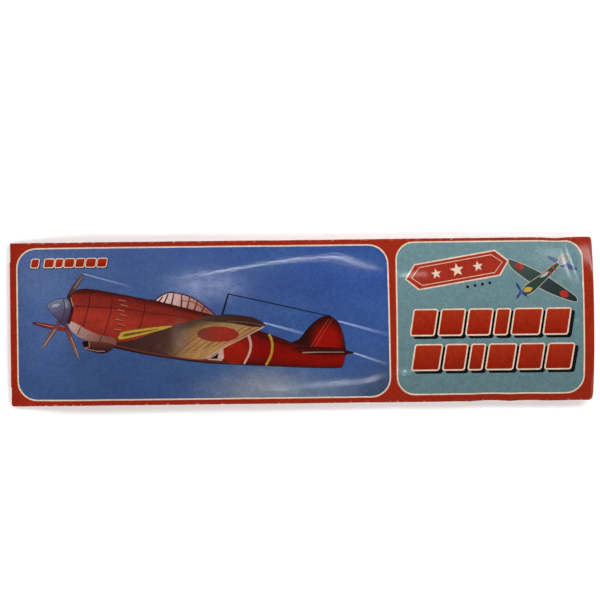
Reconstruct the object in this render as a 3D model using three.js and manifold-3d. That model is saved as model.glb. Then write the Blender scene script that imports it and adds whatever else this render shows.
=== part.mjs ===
// A balsa hand glider as it is sold: a flat kit inside its folded paper packet.
// The packet lies on its back, closed at the -X end and open at the +X mouth. The kit inside is the
// wing, the fuselage and the tailplane, cut from sheet balsa and stacked on each other, and the nose
// unit near the mouth: a ballasted nose block with a free-turning three-bladed propeller.
// Units are millimetres, +Z is up, and the origin is the centre of the packet's box at its lowest face.
import * as THREE from "three";
import { mergeVertices } from "three/addons/utils/BufferGeometryUtils.js";
import Module from "manifold-3d";

const wasm = await Module();
wasm.setup();

// ---- Driving dimensions -------------------------------------------------------------------------

const PACKET = {
  length: 210,
  width: 59,
  paper: 0.2, // thickness of the paper
  gap: 0.05, // between two layers of paper that are glued
  creaseLow: 0.85, // height of the long creases at the closed end
  creaseHigh: 2.9, // and at the mouth
  apexLow: 1.3, // height of the front panel's middle at the closed end
  crown: 2.3, // power of the front panel's crown from crease to crease
  flatBack: 22.5, // half-width of the back that lies flat
  riseLength: 26, // from the closed end to the front panel's full height
};
// The front panel's ridge: x, its height, and how far it is off the middle. It is high over the
// fuselage's canopy and the propeller, and lower over the fuselage's tail.
const RIDGE = [
  [-105, 9.2, 0],
  [-80, 9.8, 0],
  [-58, 10.2, 1],
  [-39, 10, 2],
  [-23, 8.9, 3],
  [-8, 7.85, 3.7],
  [3, 7.8, 0.6],
  [14, 8, -2],
  [27, 8.7, -0.6],
  [37, 9.9, 0],
  [50, 10.4, 0],
  [72, 10.6, 0],
  [105, 10.6, 0],
];
const SEAM = { half: 6, ramp: 2 }; // the glued overlap along the middle of the back
const FLAP = { length: 12, lift: 0.3 }; // the closed end's flap, folded under the back

const BALSA = { wing: 1.5, fuselage: 2.4, tail: 1.5, layerGap: 0.3, floor: 0.7 };
const WING = { span: 168, root: 40, tip: 19, lead: 18, sweep: 6, centre: -7.5 };
const FUSELAGE = { length: 166, nose: -90, noseTab: 8, tabDepth: 3.6 };
const WING_SLOT = { start: 36, length: 41.4, height: 1.8, y: -8 };
const TAIL_SLOT = { length: 20.6, height: 1.8, y: 2 };
const TAIL = { span: 62, root: 20, tip: 12, centre: 0 };

const NOSE = {
  x: 81, // the propeller's axis
  thick: 8, // across the slot
  tall: 16, // along the slot
  deep: 4.6, // along the propeller's axis
  slot: 2.6,
  slotDeep: 3.6,
  corner: 2.4,
  pocket: { long: 10, wide: 1.5, deep: 3 },
  clearance: 0.1,
};
const SHAFT = { radius: 0.6, headRadius: 1.1, head: 0.4, running: 0.1 };
const PROP = { radius: 16, blades: 3, hubRadius: 3.1, hub: 2.5, gap: 0.3 };
const BLADE = { root: 2.2, chord: 4.2, tip: 2.4, thick: 0.8, pitchRoot: 34, pitchTip: 14 };
const SPINNER = { radius: 3.7, height: 1.9, gap: 0.1, wall: 0.6 };

// ---- Helpers ------------------------------------------------------------------------------------

const { clamp, lerp, smoothstep, degToRad } = THREE.MathUtils;

/** `count` + 1 evenly spaced numbers from `low` to `high`. */
function spread(low, high, count) {
  return Array.from({ length: count + 1 }, (_, i) => lerp(low, high, i / count));
}

/** A closed plate over a grid in x and y, between the surfaces `lower` and `upper`. */
function plate(xs, ys, lower, upper) {
  const positions = [];
  const index = [];
  const rows = ys.length;
  const layer = xs.length * rows;
  for (const height of [lower, upper]) {
    for (const x of xs) for (const y of ys) positions.push(x, y, height(x, y));
  }
  const at = (i, j, top) => top * layer + i * rows + j;
  const quad = (a, b, c, d) => index.push(a, b, c, a, c, d);
  for (let i = 0; i + 1 < xs.length; i++) {
    for (let j = 0; j + 1 < rows; j++) {
      quad(at(i, j, 1), at(i + 1, j, 1), at(i + 1, j + 1, 1), at(i, j + 1, 1));
      quad(at(i, j, 0), at(i, j + 1, 0), at(i + 1, j + 1, 0), at(i + 1, j, 0));
    }
    quad(at(i, 0, 0), at(i + 1, 0, 0), at(i + 1, 0, 1), at(i, 0, 1));
    quad(at(i + 1, rows - 1, 0), at(i, rows - 1, 0), at(i, rows - 1, 1), at(i + 1, rows - 1, 1));
  }
  const last = xs.length - 1;
  for (let j = 0; j + 1 < rows; j++) {
    quad(at(0, j + 1, 0), at(0, j, 0), at(0, j, 1), at(0, j + 1, 1));
    quad(at(last, j, 0), at(last, j + 1, 0), at(last, j + 1, 1), at(last, j, 1));
  }
  const geometry = new THREE.BufferGeometry();
  geometry.setAttribute("position", new THREE.Float32BufferAttribute(positions, 3));
  geometry.setIndex(index);
  return geometry;
}

/** A manifold-3d solid of a closed geometry. */
function solid(geometry) {
  const bare = geometry.clone();
  bare.deleteAttribute("normal");
  bare.deleteAttribute("uv");
  const merged = mergeVertices(bare, 1e-4);
  return new wasm.Manifold(
    new wasm.Mesh({
      numProp: 3,
      vertProperties: merged.attributes.position.array,
      triVerts: new Uint32Array(merged.index.array),
    }),
  );
}

/** The geometry of a manifold-3d solid. */
function geometryOf(manifold) {
  const { vertProperties, triVerts } = manifold.getMesh();
  const geometry = new THREE.BufferGeometry();
  geometry.setAttribute("position", new THREE.BufferAttribute(new Float32Array(vertProperties), 3));
  geometry.setIndex(new THREE.BufferAttribute(new Uint32Array(triVerts), 1));
  return geometry;
}

/** A block centred on x and y, from height `low` to `high`, for joining and cutting. */
function block(x, y, low, high, wide, long) {
  return solid(new THREE.BoxGeometry(wide, long, high - low).translate(x, y, (low + high) / 2));
}

/** An upright cylinder on the Z axis, from height `low` to `high`. */
function rod(radius, low, high, sides = 24) {
  const cylinder = new THREE.CylinderGeometry(radius, radius, high - low, sides);
  return solid(cylinder.rotateX(Math.PI / 2).translate(0, 0, (low + high) / 2));
}

/** A flat sheet of balsa cut to `shape`, its underside at height `z`. */
function sheet(shape, thickness, z) {
  const options = { depth: thickness, bevelEnabled: false, curveSegments: 10 };
  return new THREE.ExtrudeGeometry(shape, options).translate(0, 0, z);
}

const group = new THREE.Group();

function add(name, geometry, finish) {
  geometry.computeVertexNormals();
  const mesh = new THREE.Mesh(geometry, finish);
  mesh.name = name;
  group.add(mesh);
  return mesh;
}

const finish = (color, roughness, metalness = 0) =>
  new THREE.MeshStandardMaterial({ color, roughness, metalness });
const FINISHES = {
  front: finish(0xa5311a, 0.35),
  back: finish(0xe9e4d8, 0.7),
  red: finish(0xa8281c, 0.6),
  block: finish(0x2c3c66, 0.4),
  propeller: finish(0x2b3f78, 0.35),
  spinner: finish(0x66707f, 0.3),
  steel: finish(0xb8bcc0, 0.35, 1),
};

// ---- The packet ---------------------------------------------------------------------------------

const CLOSED_END = -PACKET.length / 2;
const MOUTH = PACKET.length / 2;
const HALF_WIDTH = PACKET.width / 2;
const PANEL_START = CLOSED_END + PACKET.paper + PACKET.gap; // the flap's fold is outside the panels

const rise = (x) => smoothstep(x, CLOSED_END, CLOSED_END + PACKET.riseLength);
const crease = (x) => lerp(PACKET.creaseLow, PACKET.creaseHigh, rise(x));

/** The ridge's height (kind 1) or offset (kind 2) at x, on a smooth curve through its points. */
function ridge(x, kind) {
  const last = RIDGE.length - 1;
  const after = RIDGE.findIndex(([at]) => at > x);
  const start = after < 0 ? last - 1 : Math.max(0, after - 1);
  const slope = (i) => {
    const [before, next] = [RIDGE[Math.max(0, i - 1)], RIDGE[Math.min(last, i + 1)]];
    return (next[kind] - before[kind]) / (next[0] - before[0]);
  };
  const run = RIDGE[start + 1][0] - RIDGE[start][0];
  const t = clamp((x - RIDGE[start][0]) / run, 0, 1);
  return (
    RIDGE[start][kind] * (1 + 2 * t) * (1 - t) ** 2 +
    slope(start) * run * t * (1 - t) ** 2 +
    RIDGE[start + 1][kind] * t * t * (3 - 2 * t) +
    slope(start + 1) * run * t * t * (t - 1)
  );
}

const apex = (x) => lerp(PACKET.apexLow, ridge(x, 1), rise(x));
const backLift = (x) =>
  FLAP.lift * (1 - smoothstep(x, CLOSED_END + FLAP.length, CLOSED_END + 1.5 * FLAP.length));

/** The height of the front panel's outer face. */
function frontTop(x, y) {
  const middle = ridge(x, 2);
  const share = Math.abs(y - middle) / (y > middle ? HALF_WIDTH - middle : HALF_WIDTH + middle);
  const low = crease(x) + PACKET.gap + PACKET.paper;
  return low + (apex(x) - low) * (1 - share ** PACKET.crown);
}

/** The height of the back's outer face: flat in the middle, rising to the long creases. */
function backBottom(x, y) {
  const past = Math.max(0, Math.abs(y) - PACKET.flatBack) / (HALF_WIDTH - PACKET.flatBack);
  const low = backLift(x);
  return low + (crease(x) - PACKET.paper - low) * past ** 1.7;
}

/** The inner lap steps up over the outer one where they are glued. */
const seamStep = (y) =>
  (PACKET.paper + PACKET.gap) * (1 - smoothstep(y, SEAM.half + 0.3, SEAM.half + SEAM.ramp));

function addPacket() {
  const { paper, gap } = PACKET;
  const riseEnd = CLOSED_END + PACKET.riseLength;
  const ends = spread(PANEL_START, riseEnd, 13); // where the panels rise
  const along = [...ends, ...spread(riseEnd + 6, MOUTH, 21)];
  const across = spread(-HALF_WIDTH, HALF_WIDTH, 24);
  const front = plate(along, across, (x, y) => frontTop(x, y) - paper, frontTop);
  add("packet_front", front, FINISHES.front);

  const xs = [...ends, MOUTH];

  const edge = spread(-HALF_WIDTH, -PACKET.flatBack, 5);
  const outerLap = plate(xs, [...edge, SEAM.half], backBottom, (x, y) => backBottom(x, y) + paper);
  add("back_lap_outer", outerLap, FINISHES.back);

  const innerLow = (x, y) => backBottom(x, y) + seamStep(y);
  const stepped = spread(SEAM.half + 0.3, SEAM.half + SEAM.ramp, 3);
  const innerYs = [-SEAM.half, ...stepped, ...edge.map((y) => -y).reverse()];
  const innerLap = plate(xs, innerYs, innerLow, (x, y) => innerLow(x, y) + paper);
  add("back_lap_inner", innerLap, FINISHES.back);

  // The end flap runs under both laps and turns up round the closed end.
  const flapHalf = PACKET.flatBack;
  const flapEnd = CLOSED_END + FLAP.length;
  const under = FLAP.lift - gap - paper;
  const flap = block(
    (CLOSED_END + flapEnd) / 2, 0, under, under + paper, FLAP.length, 2 * flapHalf,
  );
  const fold = block(
    CLOSED_END + paper / 2, 0, under, PACKET.apexLow - paper, paper, 2 * flapHalf,
  );
  add("end_flap", geometryOf(flap.add(fold)), FINISHES.back);
}

// ---- The balsa sheets ---------------------------------------------------------------------------

const LAYERS = {
  wing: BALSA.floor,
  fuselage: BALSA.floor + BALSA.wing + BALSA.layerGap,
};
LAYERS.tail = LAYERS.fuselage + BALSA.fuselage + BALSA.layerGap;

/** A straight-tapered surface with round tips, its span along X and its leading edge towards +Y. */
function planform({ span, root, tip, lead, sweep, centre }) {
  const half = span / 2;
  const tipLead = lead - sweep;
  const tipTrail = tipLead - tip;
  const reach = half - tip / 2; // the tip's curve starts here
  const round = reach + (half - reach) * (4 / 3); // the curve's controls, so that it ends at the span
  const shape = new THREE.Shape();
  shape.moveTo(centre, lead);
  shape.lineTo(centre + reach, tipLead);
  shape.bezierCurveTo(
    centre + round, tipLead - 1, centre + round, tipTrail + 2, centre + reach, tipTrail,
  );
  shape.lineTo(centre + root * 0.2, lead - root);
  shape.lineTo(centre - root * 0.2, lead - root);
  shape.lineTo(centre - reach, tipTrail);
  shape.bezierCurveTo(
    centre - round, tipTrail + 2, centre - round, tipLead - 1, centre - reach, tipLead,
  );
  return shape;
}

/** The side view of the glider, nose towards -X, with the tailplane's slot cut in from behind. */
function fuselageShape() {
  const { nose, length, noseTab, tabDepth } = FUSELAGE;
  const x = (along) => nose + along;
  const shape = new THREE.Shape();
  shape.moveTo(x(0), -noseTab);
  shape.lineTo(x(tabDepth), -noseTab);
  shape.lineTo(x(tabDepth), -11);
  shape.bezierCurveTo(x(14), -14.5, x(30), -15.5, x(60), -15.5); // cowl and belly
  shape.bezierCurveTo(x(95), -15, x(125), -10, x(length - 7), -4.5); // tail boom
  shape.quadraticCurveTo(x(length - 1), -4, x(length), TAIL_SLOT.y);
  shape.lineTo(x(length - TAIL_SLOT.length), TAIL_SLOT.y);
  shape.lineTo(x(length - TAIL_SLOT.length), TAIL_SLOT.y + TAIL_SLOT.height);
  shape.lineTo(x(length), TAIL_SLOT.y + TAIL_SLOT.height);
  shape.bezierCurveTo(x(length + 0.2), 12, x(length - 4), 17.5, x(length - 12), 17.5); // rudder
  shape.bezierCurveTo(x(length - 19), 17, x(length - 22), 9, x(length - 36), 6.5); // fin
  shape.bezierCurveTo(x(112), 8.5, x(98), 11, x(92), 12.5); // spine
  shape.bezierCurveTo(x(84), 16.5, x(72), 18, x(63), 17); // canopy
  shape.quadraticCurveTo(x(53), 14.5, x(47), 11.5);
  shape.bezierCurveTo(x(34), 11.5, x(16), 11.5, x(tabDepth), 10.5); // cowl
  shape.lineTo(x(tabDepth), noseTab);
  shape.lineTo(x(0), noseTab);
  return shape;
}

/** The fuselage's sheet with the slot that the wing slides through. */
function fuselage() {
  const middle = FUSELAGE.nose + WING_SLOT.start + WING_SLOT.length / 2;
  const [low, high] = [LAYERS.fuselage, LAYERS.fuselage + BALSA.fuselage];
  const slot = block(middle, WING_SLOT.y, low - 1, high + 1, WING_SLOT.length, WING_SLOT.height);
  return geometryOf(solid(sheet(fuselageShape(), BALSA.fuselage, low)).subtract(slot));
}

function addBalsa() {
  add("wing", sheet(planform(WING), BALSA.wing, LAYERS.wing), FINISHES.red);
  add("fuselage", fuselage(), FINISHES.red);
  const tail = planform({ ...TAIL, lead: TAIL.root / 2, sweep: 4 });
  add("tailplane", sheet(tail, BALSA.tail, LAYERS.tail), FINISHES.red);
}

// ---- The nose unit ------------------------------------------------------------------------------
// Every piece of it is modelled about the propeller's axis and moved to its place in the packet.

const BLOCK_TOP = BALSA.floor + NOSE.deep;
const HUB_LOW = BLOCK_TOP + PROP.gap;
const HUB_TOP = HUB_LOW + PROP.hub;
const SPINNER_LOW = HUB_TOP + SPINNER.gap;

function roundedBox(wide, long, radius) {
  const [a, b] = [wide / 2, long / 2];
  const shape = new THREE.Shape();
  shape.moveTo(-a + radius, -b);
  shape.absarc(a - radius, -b + radius, radius, -Math.PI / 2, 0);
  shape.absarc(a - radius, b - radius, radius, 0, Math.PI / 2);
  shape.absarc(-a + radius, b - radius, radius, Math.PI / 2, Math.PI);
  shape.absarc(-a + radius, -b + radius, radius, Math.PI, 1.5 * Math.PI);
  return shape;
}

/** The moulded block that slips over the fuselage's nose, with a ballast pocket in each jaw. */
function noseBlock() {
  const { thick, tall, slot, slotDeep, corner, pocket } = NOSE;
  const low = BALSA.floor;
  const outline = roundedBox(thick, tall, corner);
  const jaw = (thick + slot) / 4;
  let body = solid(sheet(outline, NOSE.deep, low))
    .subtract(block(0, 0, low - 1, low + slotDeep, slot, tall + 2))
    .subtract(rod(SHAFT.radius + SHAFT.running, low, BLOCK_TOP + 1));
  for (const side of [-1, 1]) {
    body = body.subtract(block(side * jaw, 0, low - 1, low + pocket.deep, pocket.wide, pocket.long));
  }
  return geometryOf(body);
}

/** A steel slug for one jaw's pocket. */
function ballast(side) {
  const { thick, slot, pocket, clearance } = NOSE;
  const jaw = (side * (thick + slot)) / 4;
  const low = BALSA.floor + clearance;
  const high = BALSA.floor + pocket.deep - clearance;
  return geometryOf(
    block(jaw, 0, low, high, pocket.wide - 2 * clearance, pocket.long - 2 * clearance),
  );
}

/** A pin with a head behind the block and its end inside the spinner. */
function shaft() {
  const headTop = BALSA.floor + NOSE.slotDeep - SHAFT.running;
  const end = SPINNER_LOW + SPINNER.height - SPINNER.wall - SHAFT.running;
  const profile = [
    [0, headTop - SHAFT.head],
    [SHAFT.headRadius, headTop - SHAFT.head],
    [SHAFT.headRadius, headTop],
    [SHAFT.radius, headTop],
    [SHAFT.radius, end],
    [0, end],
  ].map(([r, z]) => new THREE.Vector2(r, z));
  return new THREE.LatheGeometry(profile, 20).rotateX(Math.PI / 2);
}

/** One blade along +X: lens-shaped sections that narrow and flatten towards the tip. */
function blade() {
  const sections = 9;
  const sides = 10;
  const positions = [];
  const index = [];
  const middle = HUB_LOW + PROP.hub / 2;
  for (let i = 0; i < sections; i++) {
    const t = i / (sections - 1);
    const r = lerp(BLADE.root, PROP.radius, t);
    const swell = Math.sin(Math.PI * Math.min(1, 0.2 + 0.62 * t));
    const rounding = Math.sqrt(Math.max(0.03, 1 - ((t - 0.82) / 0.18) ** 2 * (t > 0.82)));
    const chord = lerp(BLADE.tip, BLADE.chord, swell) * rounding;
    const pitch = degToRad(lerp(BLADE.pitchRoot, BLADE.pitchTip, t));
    const thick = BLADE.thick * lerp(1, 0.6, t);
    for (let k = 0; k < sides; k++) {
      const a = (2 * Math.PI * k) / sides;
      const [u, v] = [(chord / 2) * Math.cos(a), (thick / 2) * Math.sin(a)];
      positions.push(
        r,
        u * Math.cos(pitch) - v * Math.sin(pitch),
        middle + u * Math.sin(pitch) + v * Math.cos(pitch),
      );
    }
  }
  for (let i = 0; i + 1 < sections; i++) {
    for (let k = 0; k < sides; k++) {
      const [a, b] = [i * sides + k, i * sides + ((k + 1) % sides)];
      index.push(a, b, b + sides, a, b + sides, a + sides);
    }
  }
  for (let k = 1; k + 1 < sides; k++) {
    const last = (sections - 1) * sides;
    index.push(0, k + 1, k, last, last + k, last + k + 1);
  }
  const geometry = new THREE.BufferGeometry();
  geometry.setAttribute("position", new THREE.Float32BufferAttribute(positions, 3));
  geometry.setIndex(index);
  return geometry;
}

function propeller() {
  let body = rod(PROP.hubRadius, HUB_LOW, HUB_TOP, 32);
  for (let i = 0; i < PROP.blades; i++) {
    body = body.add(solid(blade().rotateZ((2 * Math.PI * i) / PROP.blades)));
  }
  return geometryOf(body.subtract(rod(SHAFT.radius + SHAFT.running, HUB_LOW - 1, HUB_TOP + 1)));
}

/** The spinner: a low dome whose blind hole takes the end of the shaft. */
function spinner() {
  const dome = [];
  for (let i = 0; i <= 8; i++) {
    const a = (Math.PI / 2) * (i / 8);
    dome.push([SPINNER.radius * Math.cos(a), SPINNER_LOW + SPINNER.height * Math.sin(a)]);
  }
  const hole = SHAFT.radius + SHAFT.running;
  const ceiling = SPINNER_LOW + SPINNER.height - SPINNER.wall;
  const profile = [[0, ceiling], [hole, ceiling], [hole, SPINNER_LOW], ...dome.slice(0, -1)];
  profile.push([0, SPINNER_LOW + SPINNER.height]);
  const points = profile.map(([r, z]) => new THREE.Vector2(r, z));
  return new THREE.LatheGeometry(points, 28).rotateX(Math.PI / 2);
}

function addNoseUnit() {
  const pieces = [
    add("nose_block", noseBlock(), FINISHES.block),
    add("nose_weight_left", ballast(-1), FINISHES.steel),
    add("nose_weight_right", ballast(1), FINISHES.steel),
    add("propeller_shaft", shaft(), FINISHES.steel),
    add("propeller", propeller(), FINISHES.propeller),
    add("spinner", spinner(), FINISHES.spinner),
  ];
  for (const piece of pieces) piece.position.x = NOSE.x;
}

addPacket();
addBalsa();
addNoseUnit();

export default group;
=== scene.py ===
"""Looks of a flat balsa glider kit in its glossy printed paper packet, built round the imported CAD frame.

Lengths are in millimetres until a mesh is made, in the frame of the CAD: +X to the open mouth, +Y to the
printed front's upper edge, +Z up. A print is a stack of layers: each is a list of closed outlines and a
paint, a function of (x, y, colour under it). The sheet it is on is triangulated along all the outlines.
"""

import math

import bpy
from mathutils import Matrix, Vector, noise
from mathutils.geometry import delaunay_2d_cdt


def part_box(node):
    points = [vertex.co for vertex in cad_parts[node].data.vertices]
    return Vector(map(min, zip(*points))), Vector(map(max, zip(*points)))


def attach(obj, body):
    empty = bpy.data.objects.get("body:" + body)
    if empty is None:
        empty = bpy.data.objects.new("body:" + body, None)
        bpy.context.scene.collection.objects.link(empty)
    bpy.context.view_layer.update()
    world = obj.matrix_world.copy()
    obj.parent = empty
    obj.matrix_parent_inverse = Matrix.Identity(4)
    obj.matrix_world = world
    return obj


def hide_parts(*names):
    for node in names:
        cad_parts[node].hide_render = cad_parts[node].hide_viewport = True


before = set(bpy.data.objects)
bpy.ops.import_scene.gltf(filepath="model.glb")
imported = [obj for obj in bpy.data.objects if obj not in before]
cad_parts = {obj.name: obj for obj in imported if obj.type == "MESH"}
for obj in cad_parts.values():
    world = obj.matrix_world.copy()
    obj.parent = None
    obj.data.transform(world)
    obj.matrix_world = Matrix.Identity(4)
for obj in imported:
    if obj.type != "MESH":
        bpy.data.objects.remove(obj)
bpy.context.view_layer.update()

MM = 0.001

# ---- Colours, as sRGB ---------------------------------------------------------------------------


def rgb(red, green, blue):
    return (red / 255, green / 255, blue / 255)


def mix(a, b, share):
    share = min(1.0, max(0.0, share))
    return tuple(p + (q - p) * share for p, q in zip(a, b))


def linear(colour):
    """The linear RGBA of an sRGB colour."""
    return [c / 12.92 if c < 0.04045 else ((c + 0.055) / 1.055) ** 2.4 for c in colour] + [1.0]


BORDER_RED = rgb(150, 38, 18)
CREAM = rgb(226, 202, 178)
INK_BLACK = rgb(16, 14, 18)
TEAL = rgb(104, 135, 140)
DEEP_RED = rgb(128, 14, 6)
OUTLINE_RED = rgb(56, 18, 14)
OCHRE = rgb(172, 130, 80)
BROWN = rgb(70, 46, 40)
YELLOW = rgb(182, 150, 56)
PAPER = rgb(206, 200, 186)

# ---- Curves and outlines ------------------------------------------------------------------------


def lerp(a, b, share):
    return a + (b - a) * share


def smoothstep(x, low, high):
    share = min(1.0, max(0.0, (x - low) / (high - low)))
    return share * share * (3 - 2 * share)


def normal_of(surface, x, y, step=0.02):
    """The outward normal of a surface that is given as a function of two numbers."""
    along = surface(x + step, y) - surface(x - step, y)
    across = surface(x, y + step) - surface(x, y - step)
    return along.cross(across).normalized()


def turned(points, degrees, centre=(0, 0), move=(0, 0)):
    """The points turned about a centre and then moved."""
    c, s = math.cos(math.radians(degrees)), math.sin(math.radians(degrees))
    offsets = [(x - centre[0], y - centre[1]) for x, y in points]
    return [
        (centre[0] + move[0] + c * x - s * y, centre[1] + move[1] + s * x + c * y) for x, y in offsets
    ]


def curve(points, closed=True, steps=6):
    """A smooth Catmull-Rom line through a few points."""
    count = len(points)
    last = count if closed else count - 1
    made = []
    for i in range(last):
        if closed:
            a, b, c, d = (Vector(points[(i + k) % count]) for k in (-1, 0, 1, 2))
        else:
            a, b, c, d = (Vector(points[min(count - 1, max(0, i + k))]) for k in (-1, 0, 1, 2))
        for k in range(steps):
            t = k / steps
            p = 0.5 * (
                2 * b + (c - a) * t + (2 * a - 5 * b + 4 * c - d) * t**2 + (3 * b - a - 3 * c + d) * t**3
            )
            made.append((p.x, p.y))
    if not closed:
        made.append(tuple(points[-1]))
    return made


def ellipse(centre, across, up, degrees=0, sides=28):
    angles = [2 * math.pi * i / sides for i in range(sides)]
    points = [(centre[0] + across * math.cos(a), centre[1] + up * math.sin(a)) for a in angles]
    return turned(points, degrees, centre)


def rounded_box(left, bottom, right, top, radius, steps=8):
    corners = [
        (right - radius, bottom + radius, -90),
        (right - radius, top - radius, 0),
        (left + radius, top - radius, 90),
        (left + radius, bottom + radius, 180),
    ]
    points = []
    for x, y, start in corners:
        for k in range(steps + 1):
            a = math.radians(start + 90 * k / steps)
            points.append((x + radius * math.cos(a), y + radius * math.sin(a)))
    return points


def signed_area(points):
    pairs = zip(points, points[1:] + points[:1])
    return sum(a[0] * b[1] - b[0] * a[1] for a, b in pairs) / 2


def shifted(points, distance):
    """The closed line moved to the right of its travel, with mitred corners."""
    made = []
    for i, point in enumerate(points):
        before = (Vector(point) - Vector(points[i - 1])).normalized()
        after = (Vector(points[(i + 1) % len(points)]) - Vector(point)).normalized()
        out = Vector((before.y + after.y, -before.x - after.x))
        scale = 2 * distance / max(0.5, out.length_squared)
        made.append((point[0] + out.x * scale, point[1] + out.y * scale))
    return made


def grown(points, distance):
    """The outline moved outwards by a distance."""
    return shifted(points if signed_area(points) > 0 else points[::-1], distance)


def stroke(points, start, end=None):
    """The outline of a line whose width runs from `start` to `end`."""
    end = start if end is None else end
    left, right = [], []
    for i, point in enumerate(points):
        along = Vector(points[min(i + 1, len(points) - 1)]) - Vector(points[max(i - 1, 0)])
        along.normalize()
        half = lerp(start, end, i / (len(points) - 1)) / 2
        left.append((point[0] - along.y * half, point[1] + along.x * half))
        right.append((point[0] + along.y * half, point[1] - along.x * half))
    return left + right[::-1]


def lens(start, end, width, fullest=0.5):
    """A blade-like outline from one point to another, widest at the share `fullest`."""
    a, b = Vector(start), Vector(end)
    along = (b - a).normalized()
    across = Vector((-along.y, along.x))
    middle = a.lerp(b, fullest)
    far = a.lerp(b, 0.94)
    sides = [
        a + across * width * 0.22,
        middle + across * width / 2,
        far + across * width * 0.22,
        b,
        far - across * width * 0.22,
        middle - across * width / 2,
        a - across * width * 0.22,
    ]
    return curve([(p.x, p.y) for p in sides], steps=4)


def star(centre, radius, degrees=90):
    points = []
    for i in range(10):
        a = math.radians(degrees + 36 * i)
        reach = radius if i % 2 == 0 else radius * 0.42
        points.append((centre[0] + reach * math.cos(a), centre[1] + reach * math.sin(a)))
    return points


# ---- Paints -------------------------------------------------------------------------------------


def flat(colour):
    return lambda x, y, under: colour


def veil(colour, share):
    return lambda x, y, under: mix(under, colour, share)


def ramp(first, second, start, end):
    """A gradient from `first` at the point start to `second` at end."""
    run = Vector(end) - Vector(start)

    def paint(x, y, under):
        return mix(first, second, (Vector((x, y)) - Vector(start)).dot(run) / run.length_squared)

    return paint


def layer(paint, *outlines):
    return (list(outlines), paint)


def trail(start, end, width, colour, strength):
    """A soft streak that widens from its start and fades to both sides and towards its end."""
    a, b = Vector(start), Vector(end)
    run = b - a
    across = Vector((-run.y, run.x)).normalized()
    steps = 6

    def half_width(share):
        return width / 2 * (0.35 + 0.65 * share)

    halves = []
    for side in (1, -1):
        line = [a.lerp(b, k / steps) for k in range(steps + 1)]
        edge = [p + across * side * half_width(k / steps) for k, p in enumerate(line)]
        halves.append([(p.x, p.y) for p in line + edge[::-1]])

    def paint(x, y, under):
        offset = Vector((x, y)) - a
        gone = min(1, max(0, offset.dot(run) / run.length_squared))
        off = abs(offset.dot(across)) / half_width(gone)
        return mix(under, colour, strength * max(0, 1 - off) * (1 - gone) ** 0.7)

    return (halves, paint)


# ---- The packet's artwork -----------------------------------------------------------------------

SKY = {"left": -102.6, "right": 31.9, "bottom": -27.6, "top": 27.6, "corner": 7.2, "lean": 0.012}
TITLE = {"left": 34.2, "right": 101.6, "bottom": -26.9, "top": 28.3, "corner": 6.6, "lean": 0.004}
PANEL_LINE = 0.5


def painted_sheen_share(x, y, centre, reach, strength):
    """The share of a soft pale patch of painted sheen, which stands for the haze of a broad reflection on
    the gloss.
    """
    away = math.hypot((x - centre[0]) / reach[0], (y - centre[1]) / reach[1])
    ragged = 0.75 + 0.5 * noise.noise(Vector((x / 3, y / 2.5, 17)))
    return strength * ragged * (1 - smoothstep(away, 0.2, 1))


def sky(x, y, under):
    """Deep blue, greyer to the left, with clouds under the aeroplane, a patchy brushwork and a pale patch
    of painted sheen above the canopy.
    """
    across = smoothstep(x, SKY["left"], SKY["right"])
    up = smoothstep(y, SKY["bottom"], SKY["top"])
    low = mix(rgb(56, 78, 124), rgb(58, 84, 134), across)
    high = mix(rgb(74, 94, 142), rgb(48, 78, 146), across)
    colour = mix(low, high, up)
    clouds = [
        ((-12, -23), 17, 7.5, 0.75),
        ((-24, -26), 14, 5, 0.4),
        ((8, -27), 16, 4.5, 0.45),
        ((-30, 14), 26, 10, 0.12),
        ((-95, 18), 12, 8, 0.1),
    ]
    for (cx, cy), wide, tall, strength in clouds:
        away = ((x - cx) / wide) ** 2 + ((y - cy) / tall) ** 2
        ragged = 1 + 0.5 * noise.noise(Vector((x / 5, y / 4, 3)))
        colour = mix(colour, rgb(146, 146, 152), strength * math.exp(-away * ragged))
    patch = noise.noise(Vector((x / 14, y / 8, 7)))
    green = noise.noise(Vector((x / 22, y / 10, 11)))
    colour = mix(colour, rgb(96, 120, 158), 0.16 * max(0, patch))
    colour = mix(colour, rgb(40, 60, 108), 0.22 * max(0, -patch))
    colour = mix(colour, rgb(64, 108, 128), 0.2 * max(0, green))
    colour = mix(colour, rgb(56, 64, 76), 0.7 * smoothstep(x - 1.2 * y, 38, 66))
    # A pale patch of painted sheen above the canopy: the haze of a reflection painted into the colour.
    return mix(colour, rgb(150, 158, 196), painted_sheen_share(x, y, (-34, 13), (20, 9), 0.75))


def teal(x, y, under):
    """The title panel: a little darker towards the bottom."""
    down = smoothstep(-y, -TITLE["top"], -TITLE["bottom"])
    return mix(TEAL, rgb(96, 124, 128), down)


def panels():
    """Two panels with cream lines round them; their right ends lean a little."""
    layers = []
    for area, paint in ((SKY, sky), (TITLE, teal)):
        box = (area["left"], area["bottom"], area["right"], area["top"])
        inner = (box[0] + PANEL_LINE, box[1] + PANEL_LINE, box[2] - PANEL_LINE, box[3] - PANEL_LINE)
        outlines = (rounded_box(*box, area["corner"]), rounded_box(*inner, area["corner"] - PANEL_LINE))
        for fill, outline in zip((flat(CREAM), paint), outlines):
            leaning = [(x - area["lean"] * y * (x > area["left"] + area["corner"]), y) for x, y in outline]
            layers.append(layer(fill, leaning))
    return layers


# The fuselage's middle and half depth along its length, for its shading.
BODY = [
    (-83, 4.4, 7.6), (-72, 2.6, 9.2), (-52, -1.8, 9.8), (-35, -5.4, 8.8), (-17, -8.8, 6.6), (0, -12.4, 4.2),
    (15, -13.5, 3.3),
]


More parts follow.
